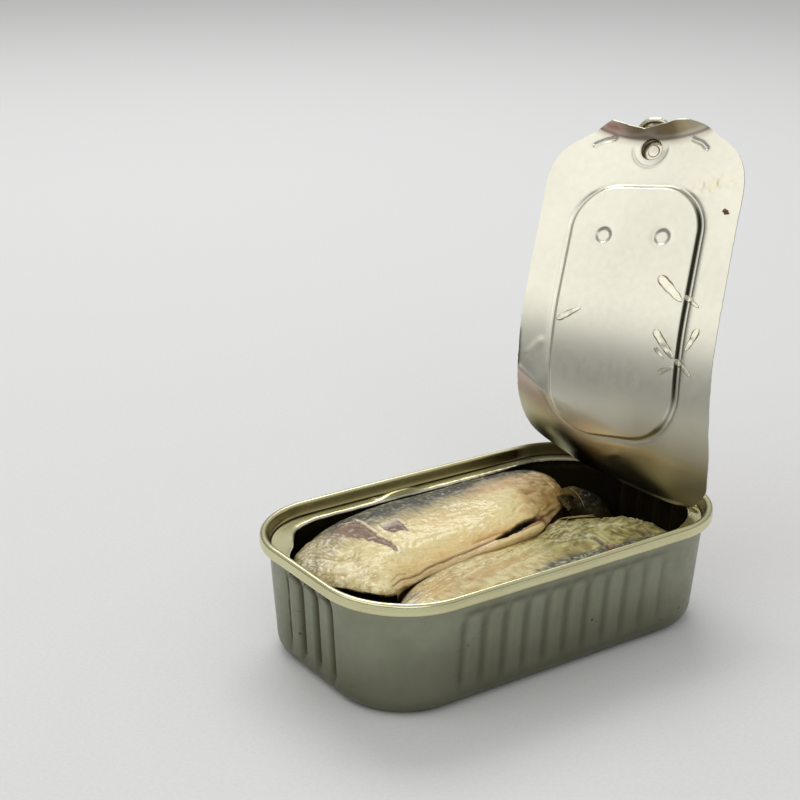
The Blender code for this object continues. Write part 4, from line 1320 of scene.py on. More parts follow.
    # the cut end is ragged and hollow underneath
    cut = smooth((-32.5 - x) / 3.0) * smooth((8.5 - seam) / 6.0)
    d = d + cut * (0.36 * noise(g, (2.6, 1.6, 2.5), 70) + 0.07 * noise(g, 0.8, 71))
    d = d + smooth((x - 27) / 6) * 0.22 * noise(g, (2.6, 2.6, 2.6), 72)
    hem = smooth((x + 35) / 3) * smooth((30 - x) / 6) * smooth((z - 19.5) / 1.0)
    sway = 0.22 * noise(np.stack([x, 0 * x, 0 * x], -1), 3.0, 76)
    gap = smooth((noise(np.stack([x, 0 * x, 0 * x], -1), 5.0, 73) + 0.25) / 0.35)
    d = d - 0.16 * hem * np.exp(-((seam - 1.05 - sway) / 0.24) ** 2)
    d = d - 0.10 * hem * gap * np.exp(-((seam - 2.20 - 1.9 * sway) / 0.26) ** 2)
    g2 = g + n * d[..., None]
    hollow = cut * smooth((wl(x) - 0.5 - z) / 1.6)
    g2[..., 0] += 4.2 * hollow
    g2[..., 1] += 3.4 * hollow
    tuck = smooth((x + 33) / 4) * smooth((21.0 - z) / 2.5) * smooth((6.0 - seam) / 5.0)
    g2[..., 1] += 1.6 * tuck
    g2[..., 1] = np.minimum(g2[..., 1], 27.4)

    # colours
    c = np.broadcast_to(lin((229, 218, 170)), g.shape).copy()
    big = fbm(g, (15, 8, 8), 3, 81)
    med = fbm(g, (3.6, 1.3, 2.5), 4, 82)
    fin = fbm(g, (0.9, 0.45, 0.7), 3, 83)
    c = paint(c, smooth((big + 0.1) / 0.5) * 0.5, (222, 204, 150))
    c = paint(c, smooth((med - 0.02) / 0.30) * 0.40, (203, 184, 130))
    c = paint(c, smooth((-med - 0.05) / 0.30) * 0.35, (242, 236, 200))
    c = paint(c, smooth((fin - 0.10) / 0.30) * 0.40, (249, 246, 220))
    c = paint(c, smooth((-fin - 0.12) / 0.30) * 0.36, (180, 152, 94))
    # tan towards the right end, pink under the back, gold along the belly
    c = paint(c, smooth((x - 4 + 3 * med) / 16) * smooth((12 - back) / 9) * 0.55, (206, 174, 134))
    c = paint(c, spot(g, (12.0, 17.6, 26.9), 11.0, 3.4, 4.0) * (0.70 + 0.8 * med), (200, 152, 124))
    c = paint(c, spot(g, (-5.5, 9.0, 26.5), 7.5, 3.0, 4.0) * 0.35, (204, 170, 130))
    c = paint(c, smooth((x - 16 + 3.0 * med) / 9) * 0.62, (184, 154, 102))
    c = paint(c, smooth((x - 26 + 2.5 * med) / 6) * 0.65, (158, 126, 70))
    c = paint(c, smooth((x - 15) / 8) * smooth((noise(g, (2.2, 1.1, 1.4), 58) - 0.12) / 0.25) * 0.50, (150, 96, 44))
    c = paint(c, smooth((x - 15) / 8) * smooth((noise(g, (1.6, 0.7, 1.0), 57) - 0.16) / 0.2) * 0.55, (244, 228, 184))
    for at, rx, ry, k in (((19.0, 10.8, 26.2), 2.4, 1.7, 0.75), ((17.6, 7.0, 25.6), 2.2, 1.5, 0.65),
                          ((23.2, 6.6, 23.2), 2.2, 1.5, 0.65), ((23.4, 12.4, 26.1), 2.0, 1.3, 0.45),
                          ((27.7, 9.7, 23.9), 1.6, 1.6, 0.55), ((1.0, -1.0, 22.6), 4.5, 1.3, 0.5),
                          ((-3.0, -0.6, 23.2), 4.5, 1.2, 0.4), ((13.0, 4.2, 25.0), 2.6, 1.2, 0.35)):
        c = paint(c, spot(g + 0.5 * noise(g, 1.2, 88)[..., None], at, rx, ry) * k, (160, 104, 44))
    gold = np.exp(-((seam - 2.2 + 0.9 * med) / 2.4) ** 2) * smooth((x + 34) / 5)
    c = paint(c, gold * 0.50, (208, 174, 108))
    c = paint(c, smooth((0.9 + 0.6 * fin - seam) / 1.0) * smooth((x + 36) / 3) * 0.45,
              (160, 116, 62))
    run = smooth((x + 35) / 3) * smooth((30 - x) / 6) * smooth((z - 19.5) / 1.0)
    sway = 0.22 * noise(np.stack([x, 0 * x, 0 * x], -1), 3.0, 76)
    # the pale lines along the belly's edge are painted highlights beside the brown lines
    c = paint(c, np.exp(-((seam - 0.35 - sway) / 0.28) ** 2) * run * 0.85, (238, 216, 176))
    c = paint(c, np.exp(-((seam - 1.05 - sway) / 0.20) ** 2) * run * 0.85, (118, 72, 32))
    c = paint(c, np.exp(-((seam - 1.60 - sway) / 0.22) ** 2) * run * 0.60, (236, 214, 168))
    c = paint(c, np.exp(-((seam - 2.20 - 1.9 * sway) / 0.20) ** 2) * run * gap * 0.50, (142, 96, 46))
    film = x - (34.4 - 0.055 * (y - 14.0) ** 2) + 0.3 * med
    c = paint(c, smooth(film / 1.2) * 0.55, (150, 106, 54))
    # the pale line on the film's edge is a painted highlight
    c = paint(c, np.exp(-(film / 0.36) ** 2) * 0.95, (244, 232, 190))
    # the cut end: golden, with whitish flakes whose brightest specks are painted glints, and darker hollows
    f = fl * 1.3 - np.floor(fl * 1.3)
    c = paint(c, rough_end * 0.60, (206, 194, 138))
    c = paint(c, rough_end * smooth((0.35 - f) / 0.25) * 0.40, (166, 144, 82))
    c = paint(c, rough_end * smooth((streaky - 0.05) / 0.3) * 0.65, (246, 242, 210))
    c = paint(c, rough_end * smooth((-streaky - 0.15) / 0.25) * 0.50, (158, 134, 76))
    c = paint(c, rough_end * smooth((noise(g, (1.6, 0.9, 1.0), 85) - 0.26) / 0.3) * 0.40, (182, 156, 84))
    c = paint(c, rough_end * smooth((noise(g, (1.0, 0.5, 0.6), 79) - 0.40) / 0.2) * 0.30, (124, 110, 70))
    c = paint(c, rough_end * smooth((noise(turned(g, -50), (1.3, 0.5, 0.8), 77) - 0.36) / 0.2) * 0.7, (255, 250, 222))
    c = paint(c, rough_end * smooth((14.0 - back + 2 * med) / 7) * 0.45, (146, 142, 116))
    c = paint(c, np.exp(-(vflap / 0.7) ** 2) * 0.80, (242, 236, 208))
    c = paint(c, np.exp(-(bones / 0.34) ** 2) * 0.75, (240, 226, 150))
    c = paint(c, smooth((-43.6 - x + med) / 2.2) * 0.50, (134, 110, 58))
    c = paint(c, spot(g, (-33.5, 18.6, 24.2), 6.0, 2.2, 3.0) * 0.55, (150, 140, 116))
    # back: blue-grey, mottled, with the net of the scales showing
    width = curve(x, ((-42.0, 4.0), (-32.0, 11.0), (-22.0, 15.0), (-12.0, 15.0), (0.0, 12.5),
                      (12.0, 9.0), (24.0, 5.0), (30.0, 2.5)))
    bk = smooth((width + 1.5 * med + 1.1 * fin - back) / (0.55 * width)) * smooth((x + 40) / 7)
    c = paint(c, bk * 0.80, (112, 108, 88))
    c = paint(c, smooth((0.64 * width + 2.6 * fin + 2.0 * med - back) / 2.6)
              * smooth((x + 36) / 6) * 0.70, (66, 68, 64))
    c = paint(c, smooth((0.49 * width + 1.8 * fin + 1.2 * med - back) / 1.6)
              * smooth((x + 36) / 6) * 0.96, (10, 11, 14))
    c = paint(c, bk * smooth((noise(g, (1.3, 0.8, 0.8), 78) - 0.20) / 0.25) * 0.45,
              (168, 164, 140))
    c = paint(c, net * net_zone * 0.80, (70, 68, 54))
    c = paint(c, net * up * (1 - rough_end) * 0.12, (170, 148, 100))
    # painted glints on the dark back
    spark = smooth((noise(g, 0.6, 86) - 0.52) / 0.2)
    c = paint(c, spark * bk * 0.6, (206, 208, 202))
    # torn skin shows mauve flesh; along its raised free edge runs a painted highlight
    inside = smooth((0.06 - tear_a) / 0.22) * crown
    c = paint(c, inside, (112, 84, 62))
    grain = noise(turned(g, 18), (1.4, 0.35, 0.8), 87)
    c = paint(c, inside * smooth(grain / 0.4) * 0.5, (146, 116, 96))
    c = paint(c, inside * smooth((-grain - 0.1) / 0.4) * 0.5, (84, 62, 50))
    c = paint(c, lip_a * frayed * 0.85 * smooth((x + 30) / 3), (244, 240, 220))
    c = paint(c, spot(g, (-31.5, 15.5, 24.6), 3.0, 4.5, 3.0) * 0.45, (150, 122, 100))
    inside = smooth((0.06 - tear_b) / 0.22) * crown
    c = paint(c, inside, (104, 76, 56))
    c = paint(c, inside * smooth(grain / 0.4) * 0.4, (140, 108, 88))
    # the second tear's free edge: a painted highlight too
    c = paint(c, np.exp(-((tear_b - 0.3) / 0.3) ** 2) * crown * 0.8 * frayed, (244, 240, 220))
    c = paint(c, np.exp(-(flap / 0.8) ** 2) * smooth((flap_at - 0.08) / 0.3) * 0.75,
              (226, 210, 164))
    c = paint(c, smooth((0.25 - slit) / 0.4) * crown, (26, 17, 10))
    c = paint(c, spot(g, (16.8, 1.9, 22.6), 2.3, 1.4, 2.2) * 0.95, (104, 44, 14))
    c = paint(c, spot(g, (14.0, 3.8, 24.0), 2.6, 1.0, 2.2) * 0.5, (150, 92, 40))
    # painted shade low down by the seam, and in the hollow under the cut end
    c = paint(c, smooth((20.8 - z) / 1.2) * smooth((8 - seam) / 4), (70, 48, 24))
    c = paint(c, hollow, (16, 12, 6))
    # a brighter band along the belly: paler skin and painted light
    c = c * (1 + 0.34 * np.exp(-((seam - 6.0) / 4.0) ** 2) * smooth((x + 30) / 8) * smooth((19 - x) / 9)
             * smooth((0.8 + slit) / 0.8))[..., None] * np.array((1.0, 0.975, 0.95))
    rim_dark = smooth((0.48 * width + 1.8 * fin + 1.2 * med - back) / 2.0) * smooth((x + 36) / 6)
    wet = np.clip(1 - 0.4 * rough_end - 0.8 * smooth((0.5 - slit) / 0.5) - 0.9 * rim_dark, 0, 1)
    dim = np.maximum(np.maximum(bk, hollow), smooth((0.06 - np.minimum(tear_a, tear_b)) / 0.22))
    dim = np.clip(np.maximum(dim, smooth((0.25 - slit) / 0.4)), 0, 1)
    build_fish_mesh("fish_whole_side", g2, c, {"wet": wet, "dark": dim}, "fish_1",
                    mat, gain=np.array((1.24, 1.19, 1.01)))


def front_fish(mat):
    high = lambda x: curve(x, ((-36.5, -15.0), (-34.5, -11.8), (-31.5, -9.2), (-20.0, -5.2),
                               (-5.0, -2.8), (8.0, -1.6), (16.0, 0.6), (20.0, 3.6),
                               (24.0, 3.6), (28.0, 2.4), (31.0, 1.0), (34.0, -1.0),
                               (37.0, -3.6), (40.5, -7.0), (43.2, -11.0), (45.0, -16.5)))
    low = lambda x: curve(x, ((-36.5, -19.5), (-33.0, -22.6), (-28.0, -24.8), (-20.0, -26.2),
                              (0.0, -26.9), (30.0, -26.9), (38.0, -26.2), (42.0, -24.2),
                              (45.0, -20.0)))
    mid = lambda x: 0.55 * low(x) + 0.45 * high(x)
    top = lambda x: curve(x, ((-36.5, 19.4), (-30.0, 20.6), (-15.0, 21.2), (10.0, 21.2),
                              (30.0, 21.6), (40.0, 21.4), (45.0, 19.0)))
    wl = lambda x: 12.0 + 0 * x
    wh = lambda x: curve(x, ((-36.5, 17.5), (-25.0, 19.7), (12.0, 19.6), (24.0, 17.5),
                             (45.0, 15.5)))
    f = Fish(-36.5, 45.0, low, high, mid, top, wl, wh, (4.6, 2.8, 3.0, 3.0),
             lambda x: dome(x, -36.5, 45.0, 3.5, 3.5, 0.3, 0.2))
    g, n = f.grid(340, 230)
    x, y, z = g[..., 0], g[..., 1], g[..., 2]
    up = smooth((n[..., 2] - 0.05) / 0.4)
    right = smooth((x - 2) / 16)
    d = 0.40 * noise(g, (18, 6, 8), 93) * up
    fib = noise(turned(g, -14), (5.0, 0.65, 2.0), 94)
    fib2 = noise(turned(g, -20), (2.4, 0.36, 1.2), 95)
    fib3 = noise(turned(g, -10), (1.1, 0.30, 0.8), 98)
    d = d + (0.07 + 0.15 * right) * fib + (0.04 + 0.07 * right) * fib2 + 0.03 * fib3
    d = d + 0.03 * noise(g, 0.45, 96)
    folds = 2.0 * fbm(turned(g, -17), (9.0, 2.2, 4.0), 3, 97)
    step = terraces(folds, 0.75) - 0.8 * folds
    d = d + right * up * 0.42 * step
    crease, _ = line_dist3(g + 0.3 * noise(g, 1.2, 91)[..., None],
                           ((21.6, -7.2, 21.2), (22.3, -10.2, 21.3), (22.7, -13.3, 21.3),
                            (22.3, -15.9, 21.3), (22.3, -18.2, 21.2)))
    d = d - 0.7 * np.exp(-(crease / 0.55) ** 2)
    crease2, _ = line_dist3(g + 0.3 * noise(g, 1.2, 92)[..., None],
                            ((19.5, 0.5, 20.6), (23.0, -1.5, 21.0), (24.6, -4.5, 21.1),
                             (27.7, -6.4, 21.2)))
    d = d - 0.35 * np.exp(-(crease2 / 0.5) ** 2)
    strands = np.full(d.shape, 1e9)
    for pts in (((20.5, 3.2, 20.6), (24.8, 2.6, 21.2), (28.3, 0.8, 21.4), (30.6, -2.0, 21.5)),
                ((26.0, 1.2, 21.3), (30.2, -1.6, 21.5), (35.0, -4.6, 21.5), (39.0, -8.6, 21.4)),
                ((16.5, -2.0, 21.2), (22.0, -3.0, 21.3), (27.5, -5.4, 21.4), (32.5, -8.6, 21.5)),
                ((13.0, -6.0, 21.2), (18.0, -7.8, 21.3), (21.5, -8.6, 21.3))):
        q, _ = line_dist3(g + 0.35 * noise(g, 1.6, 108)[..., None], pts)
        strands = np.minimum(strands, q)
    d = d + 0.16 * np.exp(-(strands / 0.30) ** 2)
    g2 = g + n * d[..., None]
    g2[..., 1] = np.maximum(g2[..., 1], -27.4)

    c = np.broadcast_to(lin((212, 194, 142)), g.shape).copy()
    big = fbm(g, (13, 6, 8), 3, 101)
    med = fbm(g, (3.2, 1.0, 2.0), 4, 102)
    fin = fbm(turned(g, -14), (1.0, 0.4, 0.7), 3, 105)
    c = paint(c, smooth((big + 0.2) / 0.6) * 0.45, (204, 176, 120))
    c = paint(c, smooth((fib + 0.02) / 0.35) * 0.60, (232, 218, 172))
    c = paint(c, smooth((-fib2 - 0.02) / 0.30) * 0.50, (158, 130, 78))
    c = paint(c, smooth((fin - 0.1) / 0.3) * 0.35, (240, 228, 190))
    c = paint(c, smooth((-fin - 0.05) / 0.3) * 0.45, (146, 114, 62))
    c = paint(c, smooth((noise(g, 0.8, 107) - 0.42) / 0.2) * 0.6, (250, 244, 214))
    c = paint(c, spot(g, (-9.4, -12.5, 20.7), 13.0, 5.0, 6.0) * 0.3, (206, 172, 130))
    gold = noise(turned(g, -16), (7.0, 1.2, 2.0), 109)
    c = paint(c, smooth((gold - 0.05) / 0.3) * 0.45, (196, 150, 74))
    c = paint(c, smooth((-gold - 0.12) / 0.3) * 0.45, (240, 230, 190))
    c = paint(c, smooth((x - 3 + 5 * med) / 13) * 0.85, (156, 140, 76))
    c = paint(c, right * smooth((fib + 0.05) / 0.35) * 0.65, (196, 186, 124))
    c = paint(c, right * smooth((-fib - 0.05) / 0.35) * 0.60, (96, 80, 32))
    c = paint(c, right * smooth((-fib3 - 0.1) / 0.3) * 0.5, (104, 88, 40))
    c = paint(c, right * smooth((fib3 - 0.22) / 0.18) * 0.6, (226, 218, 168))
    c = paint(c, spot(g, (-25.3, -12.5, 20.6), 5.5, 4.0, 5.0) * 0.6, (198, 156, 82))
    c = paint(c, spot(g, (-30.5, -10.5, 19.8), 3.0, 2.2, 3.0) * 0.8, (120, 112, 96))
    # dark silvery skin beside the front wall at the right
    strip, at = line_dist3(g, ((-2.5, -20.0, 20.7), (7.0, -18.0, 20.9), (14.3, -18.0, 21.0),
                               (22.3, -18.4, 21.2), (30.4, -19.2, 21.3), (38.5, -20.0, 21.5)))
    dk = smooth((3.2 + 1.6 * med + 0.8 * fin - strip) / 1.5) * smooth((x + 2 + 2.0 * med) / 4)
    dk = np.maximum(dk, smooth((-18.2 - 0.55 * np.maximum(9 - x, 0) - y + 1.8 * med + 0.6 * fin) / 1.9) * up)
    c = paint(c, dk * 0.90, (74, 74, 70))
    c = paint(c, dk * smooth((noise(g, (0.8, 0.5, 0.7), 103) - 0.02) / 0.3) * 0.8, (150, 152, 150))
    c = paint(c, dk * smooth((noise(g, 0.7, 104) - 0.2) / 0.3) * 0.7, (28, 24, 16))
    c = paint(c, dk * smooth((noise(g, 0.5, 106) - 0.42) / 0.15) * 0.8, (212, 212, 200))
    hair = smooth((fib2 - 0.20) / 0.18) * smooth((x - 12) / 8) * smooth((y + 13.5) / 4)
    c = paint(c, hair * 0.60, (222, 216, 180))
    c = paint(c, np.exp(-(strands / 0.34) ** 2) * 0.75, (232, 226, 194))
    # the creases painted dark: painted shade
    c = paint(c, np.exp(-(crease / 0.6) ** 2) * 0.9, (36, 22, 8))
    c = paint(c, np.exp(-(crease2 / 0.45) ** 2) * 0.7, (52, 40, 14))
    c = paint(c, spot(g, (22.6, -16.8, 21.3), 1.4, 1.3, 2.0) * 0.85, (112, 46, 26))
    c = paint(c, spot(g, (-15.2, -12.6, 20.5), 0.9, 0.9, 2.0) * 0.8, (166, 70, 44))
    # painted shade: darker low down, along the edge under the whole fish and towards the right end
    c = paint(c, smooth((17.6 - z) / 3.0), (58, 44, 20))
    c = paint(c, smooth((1.3 - (high(x) - y)) / 1.0) * smooth((20 - x) / 4) * 0.8, (96, 64, 28))
    c = paint(c, smooth((x - 40) / 4) * 0.5, (84, 72, 28))
    build_fish_mesh("fish_front_flank", g2, c, {"wet": np.clip(1 - 0.2 * dk, 0, 1), "dark": dk},
                    "fish_2", mat, gain=np.array((1.14, 1.17, 1.00)))


def tail_fish(mat):
    low = lambda x: curve(x, ((33.8, 9.5), (36.5, 6.0), (40.0, 4.2), (44.0, 4.8), (47.3, 9.0)))
    high = lambda x: curve(x, ((33.8, 19.5), (37.0, 22.0), (41.0, 22.2), (44.5, 19.6),
                               (47.3, 14.5)))
    mid = lambda x: 13.6 + 0 * x
    top = lambda x: curve(x, ((33.8, 20.6), (38.0, 21.4), (42.0, 20.4), (45.0, 18.4),
                              (47.3, 16.0)))
    wl = lambda x: 11.0 + 0 * x
    f = Fish(33.8, 47.3, low, high, mid, top, wl, wl, (2.2, 2.6, 2.4, 2.4),
             lambda x: dome(x, 33.8, 47.3, 2.5, 3.5, 0.35, 0.3))
    g, n = f.grid(130, 170)
    x, y, z = g[..., 0], g[..., 1], g[..., 2]
    t = turned(g, 35)
    fib = noise(t, (3.2, 0.6, 0.9), 111)
    d = 0.35 * noise(g, (6, 3.5, 4), 112) + 0.13 * fib + 0.05 * noise(g, 0.5, 113)
    fl = 2.0 * fbm(t, (5.0, 2.2, 3.0), 3, 114)
    d = d + 0.40 * (terraces(fl, 0.7) - 0.8 * fl)
    g2 = g + n * d[..., None]
    # this piece lies in shade and is painted dark as painted shade; the olive patch by the whole fish's tip is
    # painted light, the grey specks painted glints, and it darkens further to the right and low down
    c = np.broadcast_to(lin((33, 27, 10)), g.shape).copy()
    c = paint(c, smooth(fib / 0.5) * 0.45, (66, 54, 20))
    c = paint(c, spot(g, (35.6, 17.4, 21.0), 4.8, 6.0, 4.4) * (0.85 + 0.4 * fib), (122, 100, 34))
    c = paint(c, spot(g, (39.5, 11.0, 20.5), 2.6, 3.0, 3.0) * 0.8, (24, 28, 30))
    c = paint(c, spot(g, (38.5, 11.5, 20.5), 3.2, 3.2, 3.0) * smooth((noise(g, 0.7, 117) - 0.3) / 0.2) * 0.8, (150, 152, 140))
    c = paint(c, smooth((x - 42) / 3) * 0.6, (30, 24, 10))
    c = paint(c, smooth((16.5 - z) / 4.0), (24, 18, 8))
    build_fish_mesh("fish_tail_end", g2, c, {"wet": 0.1 + 0 * z, "dark": 1 + 0 * z},
                    "fish_3", mat)


def sheet_patch(top, thick):
    """A thin closed sheet from a grid of points."""
    n_ = grid_normals_open(top)
    rows, cols = top.shape[:2]
    low = top - n_ * thick
    n = rows * cols
    faces = []
    for i in range(rows - 1):
        for j in range(cols - 1):
            a = i * cols + j
            faces.append((a, a + 1, a + 1 + cols, a + cols))
            faces.append((a + cols + n, a + 1 + cols + n, a + 1 + n, a + n))
    edge = [i * cols for i in range(rows)] + \
        [(rows - 1) * cols + j for j in range(1, cols)] + \
        [i * cols + cols - 1 for i in range(rows - 2, -1, -1)] + \
        [j for j in range(cols - 2, 0, -1)]
    for a, b in zip(edge, edge[1:] + edge[:1]):
        faces.append((a, b, b + n, a + n))
    return np.concatenate([top.reshape(-1, 3), low.reshape(-1, 3)]), faces


def grid_normals_open(g):
    a = np.gradient(g, axis=0)
    b = np.gradient(g, axis=1)
    n_ = np.cross(a, b)
    n_ /= np.linalg.norm(n_, axis=-1, keepdims=True) + 1e-9
    return n_ * np.sign(n_[..., 2:3].mean() + 1e-9)


def build_flap(mat):
    """A small dark fin folded over beside the whole fish's end, with painted shade towards its far end and on its
    underside.
    """
    a, b = np.linspace(0, 1, 44)[:, None], np.linspace(0, 1, 60)[None]
    p00, p10 = np.array((28.6, 9.8, 23.2)), np.array((27.4, 4.4, 21.9))
    p01, p11 = np.array((35.4, 11.0, 20.9)), np.array((29.0, 3.6, 21.5))
    g = ((1 - a)[..., None] * ((1 - b)[..., None] * p00 + b[..., None] * p01)
         + a[..., None] * ((1 - b)[..., None] * p10 + b[..., None] * p11))
    q = np.stack([a + 0 * b, b + 0 * a, 0 * a * b], -1)
    g[..., 2] += 0.9 * np.sin(np.pi * b) + 0.25 * noise(q * 6, 1.0, 121)
    g[..., 2] += 0.16 * np.sin((a + 0.12 * b) * 2 * np.pi * 7) * (0.4 + 0.6 * b)
    g[..., 1] += 0.5 * noise(q * 5, 1.0, 122)
    g[..., 0] += smooth((b - 0.80) / 0.2) * 0.30 * noise(q * 9, 1.0, 123)
    verts, faces = sheet_patch(g, 0.28)
    rays = 0.5 + 0.5 * np.sin((a + 0.12 * b) * 2 * np.pi * 7)
    c = np.broadcast_to(lin((50, 40, 15)), g.shape).copy()
    c = paint(c, smooth((rays - 0.5) / 0.4) * 0.45, (92, 76, 34))
    # darker towards its far end, painted shade; lighter along its near edge, a painted highlight
    c = paint(c, smooth((b + 0 * a - 0.55) / 0.3) * 0.6, (34, 28, 12))
    c = paint(c, smooth((0.25 - b + 0 * a) / 0.2) * 0.4, (104, 84, 42))
    # the underside takes the same colours at 0.6: painted shade
    c = np.concatenate([c.reshape(-1, 3), c.reshape(-1, 3) * 0.6])
    n = len(verts)
    return make("fin_flap", verts, faces, [mat], "tin", None, None,
                {"wet": np.ones(n), "dark": np.full(n, 0.5)}, {"tone": c})


def tube(path, radius, sides=8, steps=40):
    path = np.array(path, float)
    t = np.linspace(0, len(path) - 1, steps)
    k = np.clip(t.astype(int), 0, len(path) - 2)
    f = (t - k)[:, None]
    m = np.gradient(path, axis=0)
    p0, p1, m0, m1 = path[k], path[k + 1], m[k], m[k + 1]
    pts = ((2 * f ** 3 - 3 * f ** 2 + 1) * p0 + (f ** 3 - 2 * f ** 2 + f) * m0
           + (-2 * f ** 3 + 3 * f ** 2) * p1 + (f ** 3 - f ** 2) * m1)
    d = np.gradient(pts, axis=0)
    d /= np.linalg.norm(d, axis=1, keepdims=True)
    side = np.cross(d, (0.2, 0.3, 1.0))
    side /= np.linalg.norm(side, axis=1, keepdims=True)
    up = np.cross(side, d)
    w = 2 * np.pi * np.arange(sides) / sides
    r = radius * (0.35 + 0.65 * np.sin(np.pi * np.linspace(0.08, 0.92, steps)))[:, None, None]
    g = pts[:, None] + r * (np.cos(w)[None, :, None] * side[:, None]
                            + np.sin(w)[None, :, None] * up[:, None])
    faces = ring_faces(steps, sides)
    faces.append(tuple(range(sides)))
    faces.append(tuple(reversed(range((steps - 1) * sides, steps * sides))))
    return g.reshape(-1, 3), faces


def build_fibres(mat):
    verts, faces = [], []
    for path, r in ((((34.6, 12.6, 23.4), (35.2, 10.4, 22.6), (34.4, 7.4, 22.0), (32.2, 3.6, 21.7)), 0.09),
                    (((20.2, 1.4, 21.0), (23.4, 2.2, 21.3), (26.6, 0.9, 21.6), (29.6, 0.1, 21.2)), 0.11),
                    (((22.0, -0.4, 21.4), (25.0, 0.8, 21.6), (28.6, -0.9, 21.8), (31.2, -1.6, 21.5)), 0.10),
                    (((25.4, 1.9, 20.9), (27.6, 1.2, 21.3), (29.4, 1.0, 21.1), (31.6, -0.6, 21.4)), 0.12)):
        v, f = tube(path, r)
        faces += [tuple(i + len(verts) for i in q) for q in f]
        verts += v.tolist()
    n = len(verts)
    c = np.broadcast_to(lin((176, 152, 94)), (n, 3))
    return make("loose_fibres", verts, faces, [mat], "tin", None, None,
                {"wet": np.ones(n), "dark": np.full(n, 0.4)}, {"tone": c})


def build_curl(mat):
    """A sliver of the torn end, curled up on the ledge beside the lid's corner."""
    t, w = np.linspace(0, 1, 46)[:, None], np.linspace(0, 1, 16)[None]
    ax = 46.9 + 3.0 * t - 1.4 * t * t
    ay = -20.4 + 7.4 * t
    r = 0.62 * (0.35 + 0.65 * np.sin(np.pi * (0.1 + 0.8 * t)))
    ang = -0.4 + 3.3 * w + 0.5 * t
    x = ax + r * np.cos(ang) + 0.15 * noise(np.stack([t * 9 + 0 * w, w * 2 + 0 * t, 0 * t * w], -1), 1.0, 131)
    z = 26.30 + r * (1 + np.sin(ang)) * 0.9 + 0.25 * np.sin(np.pi * t)
    g = np.stack([x, ay + 0 * w, z + 0 * x], -1)
    verts, faces = sheet_patch(g, 0.16)
    # the whole curl takes the end's fold tint: painted shade
    return make("torn_curl", verts, faces, [mat], "tin", None, None,
                {"fold": np.ones(len(verts))})


def fish_material(name, coat=0.7, shine=0.5):
    """Oily skin: the painted tones broken up by fine grain, speckle and fibre,
    under a thin uneven film of oil; the pale grain specks are painted wet highlights."""
    m = Mat(name, Metallic=0.0)
    m.set("Specular IOR Level", shine)
    m.set("Coat Weight", coat)
    m.set("Coat Roughness", 0.10)
    m.set("Subsurface Weight", 0.08)
    m.set("Subsurface Radius", (1.0, 0.55, 0.30))
    m.set("Subsurface Scale", 0.0016)
    c = m.coords()
    stretched = m.scaled(c, (0.28, 1.0, 0.8))
    fibre = m.noise(stretched, 0.34, 4.0, 0.6)
    grain = m.noise(c, 0.26, 3.0, 0.7)
    blot = m.noise(c, 1.6, 4.0, 0.6)
    tone = m.attr("tone", "Color")
    dark = m.mix(1.0, tone, (0.70, 0.62, 0.46), "MULTIPLY")
    pale = m.mix(0.42, tone, (0.95, 0.92, 0.78))
    col = m.mix(m.span(fibre, 0.50, 0.80, 0.0, 0.34), tone, dark)
    light = m.math("SUBTRACT", 1.0, m.math("MULTIPLY", m.attr("dark"), 0.93))
    # pale grain specks: painted wet highlights, kept out of the dark parts
    col = m.mix(m.math("MULTIPLY", m.span(grain, 0.54, 0.74, 0.0, 0.80), light), col, pale)
    col = m.mix(m.span(blot, 0.50, 0.75, 0.0, 0.30), col, dark)
    m.colour(col)
    wet = m.attr("wet")
    m.rough(m.math("SUBTRACT", m.span(blot, 0.3, 0.7, 0.52, 0.34),
                   m.math("MULTIPLY", wet, 0.08)))
    h = m.math("ADD", m.math("MULTIPLY", fibre, 1.0), m.math("MULTIPLY", grain, 0.6))
    h = m.math("ADD", h, m.math("MULTIPLY", blot, 1.0))
    m.normal(m.bump(h, 0.26, 0.95))
    return m


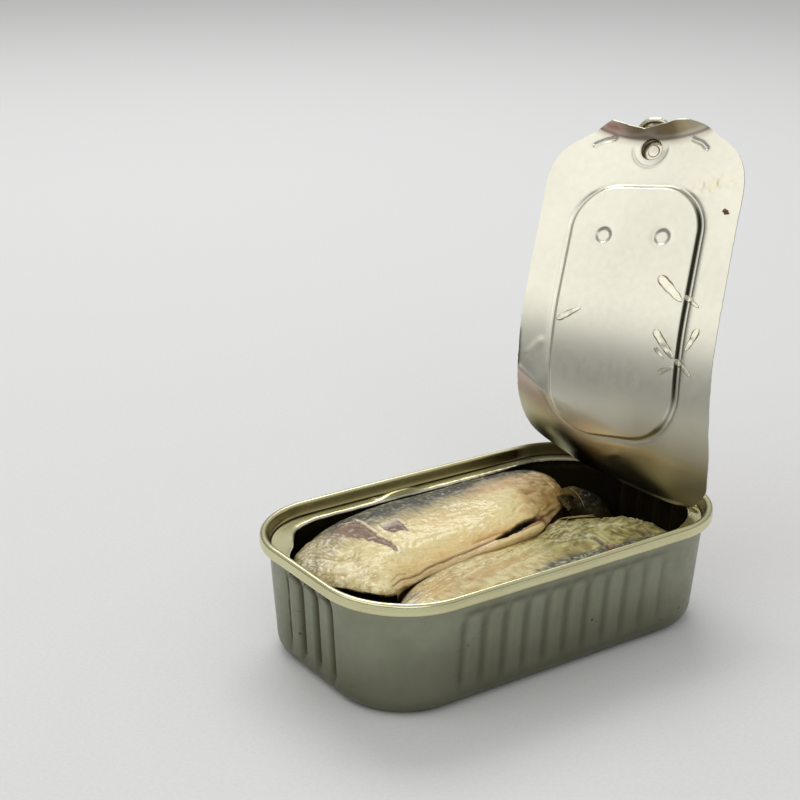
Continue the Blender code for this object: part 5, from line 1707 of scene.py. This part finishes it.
# ---- run -----------------------------------------------------------------------
def main():
    stage()
    # the body's tint is painted shade along the ribs and flutes, low down and under the rim
    body = metal("tin_body_lacquer", (0.305, 0.315, 0.235), (0.262, 0.27, 0.195), 0.36,
                 scuffs=(0.13, 0.12, 0.085),
                 tint=(("painted_wall_shade", (0.085, 0.080, 0.050)),),
                 specks=(4.4, 0.12, (0.10, 0.08, 0.05)), bump=0.003, grit=0.12)
    # the tin's inside is painted near black, which is painted shade over its lacquer
    inside = metal("tin_inside_shaded", (0.040, 0.032, 0.014), (0.029, 0.023, 0.010), 0.60)
    # the end's tints on the inner wall, the fold and the corner by the hinge are painted shade
    end = metal("tin_end_lacquer", (0.73, 0.70, 0.435), (0.66, 0.625, 0.37), 0.24, blot=16.0,
                tint=(("wall", (0.40, 0.345, 0.155)), ("fold", (0.25, 0.23, 0.095)),
                      ("dim_shade", (0.10, 0.088, 0.035))),
                bump=0.0004, grit=0.03, even=0.2, dull="dim_shade")
    raw = metal("torn_edge_metal", (0.86, 0.84, 0.74), (0.70, 0.67, 0.55), 0.22)
    # the inner face's tints low, lip and the painted lid shade are painted shade, liplight a painted highlight, and
    # part of rose a painted reflection
    lid_in = metal("lid_inner_silver", (0.765, 0.748, 0.645), (0.72, 0.702, 0.60), 0.31,
                   blot=22.0, tint=(("low", (0.37, 0.34, 0.25)), ("painted_lid_shade", (0.045, 0.04, 0.022)),
                                    ("lip", (0.26, 0.22, 0.165)), ("liplight", (0.64, 0.585, 0.485)),
                                    ("rose", (0.62, 0.50, 0.43)), ("blush", (0.40, 0.20, 0.17)),
                                   ("amber", (0.77, 0.72, 0.50))),
                   grain=0.30, bump=0.0012, grit=0.42, even=0.6)
    lid_out = print_material()
    edge = metal("lid_edge_metal", (0.50, 0.48, 0.40), (0.42, 0.40, 0.33), 0.32)
    ring = metal("ring_metal_rolled", (0.74, 0.70, 0.56), (0.66, 0.61, 0.47), 0.22)
    build_body(body.mat, inside.mat)
    build_end(end.mat, raw.mat)
    build_lid(lid_in.mat, lid_out.mat, edge.mat)
    oil = metal("oil_film", (0.79, 0.77, 0.645), (0.74, 0.71, 0.575), 0.22, blot=1.5,
                tint=(("rim", (0.20, 0.18, 0.10)),), bump=0.006, grit=0.0)
    build_smears(oil.mat)
    flake = metal("skin_flake", (0.20, 0.085, 0.035), (0.10, 0.04, 0.015), 0.45, metallic=0.0,
                  grain=0.15, blot=0.6, bump=0.05)
    build_crumb(flake.mat)
    build_tab(ring.mat)
    skin = fish_material("fish_skin_oiled")
    big_fish(skin.mat)
    front_fish(skin.mat)
    dull = fish_material("fish_skin_shaded", 0.03, 0.12)
    tail_fish(dull.mat)
    build_flap(dull.mat)
    build_fibres(skin.mat)
    build_curl(end.mat)


def print_material():
    """The outer face: gold lacquer border, a thin cream line and a plain red
    field, under a clear varnish."""
    m = Mat("lid_outer_lacquer", Metallic=0.0)
    m.set("Coat Weight", 0.6)
    m.set("Coat Roughness", 0.12)
    c = m.coords()
    f = m.attr("field")
    soft = m.noise(c, 14.0, 3.0)
    fine = m.noise(c, 0.4, 2.0)
    red = m.mix(m.span(soft, 0.3, 0.7), (0.50, 0.020, 0.022), (0.42, 0.014, 0.018))
    cream = m.mix(m.span(fine, 0.3, 0.8), (0.80, 0.74, 0.58), (0.72, 0.66, 0.50))
    gold = m.mix(m.span(soft, 0.3, 0.7), (0.52, 0.46, 0.25), (0.46, 0.40, 0.20))
    col = m.mix(m.span(f, 0.0, 0.06), gold, cream)
    col = m.mix(m.span(f, 0.75, 0.85), col, red)
    m.colour(col)
    m.put(m.b.inputs["Metallic"], m.span(f, 0.0, 0.06, 0.9, 0.15))
    m.rough(m.span(fine, 0.3, 0.8, 0.28, 0.36))
    m.normal(m.bump(fine, 0.006))
    return m


main()
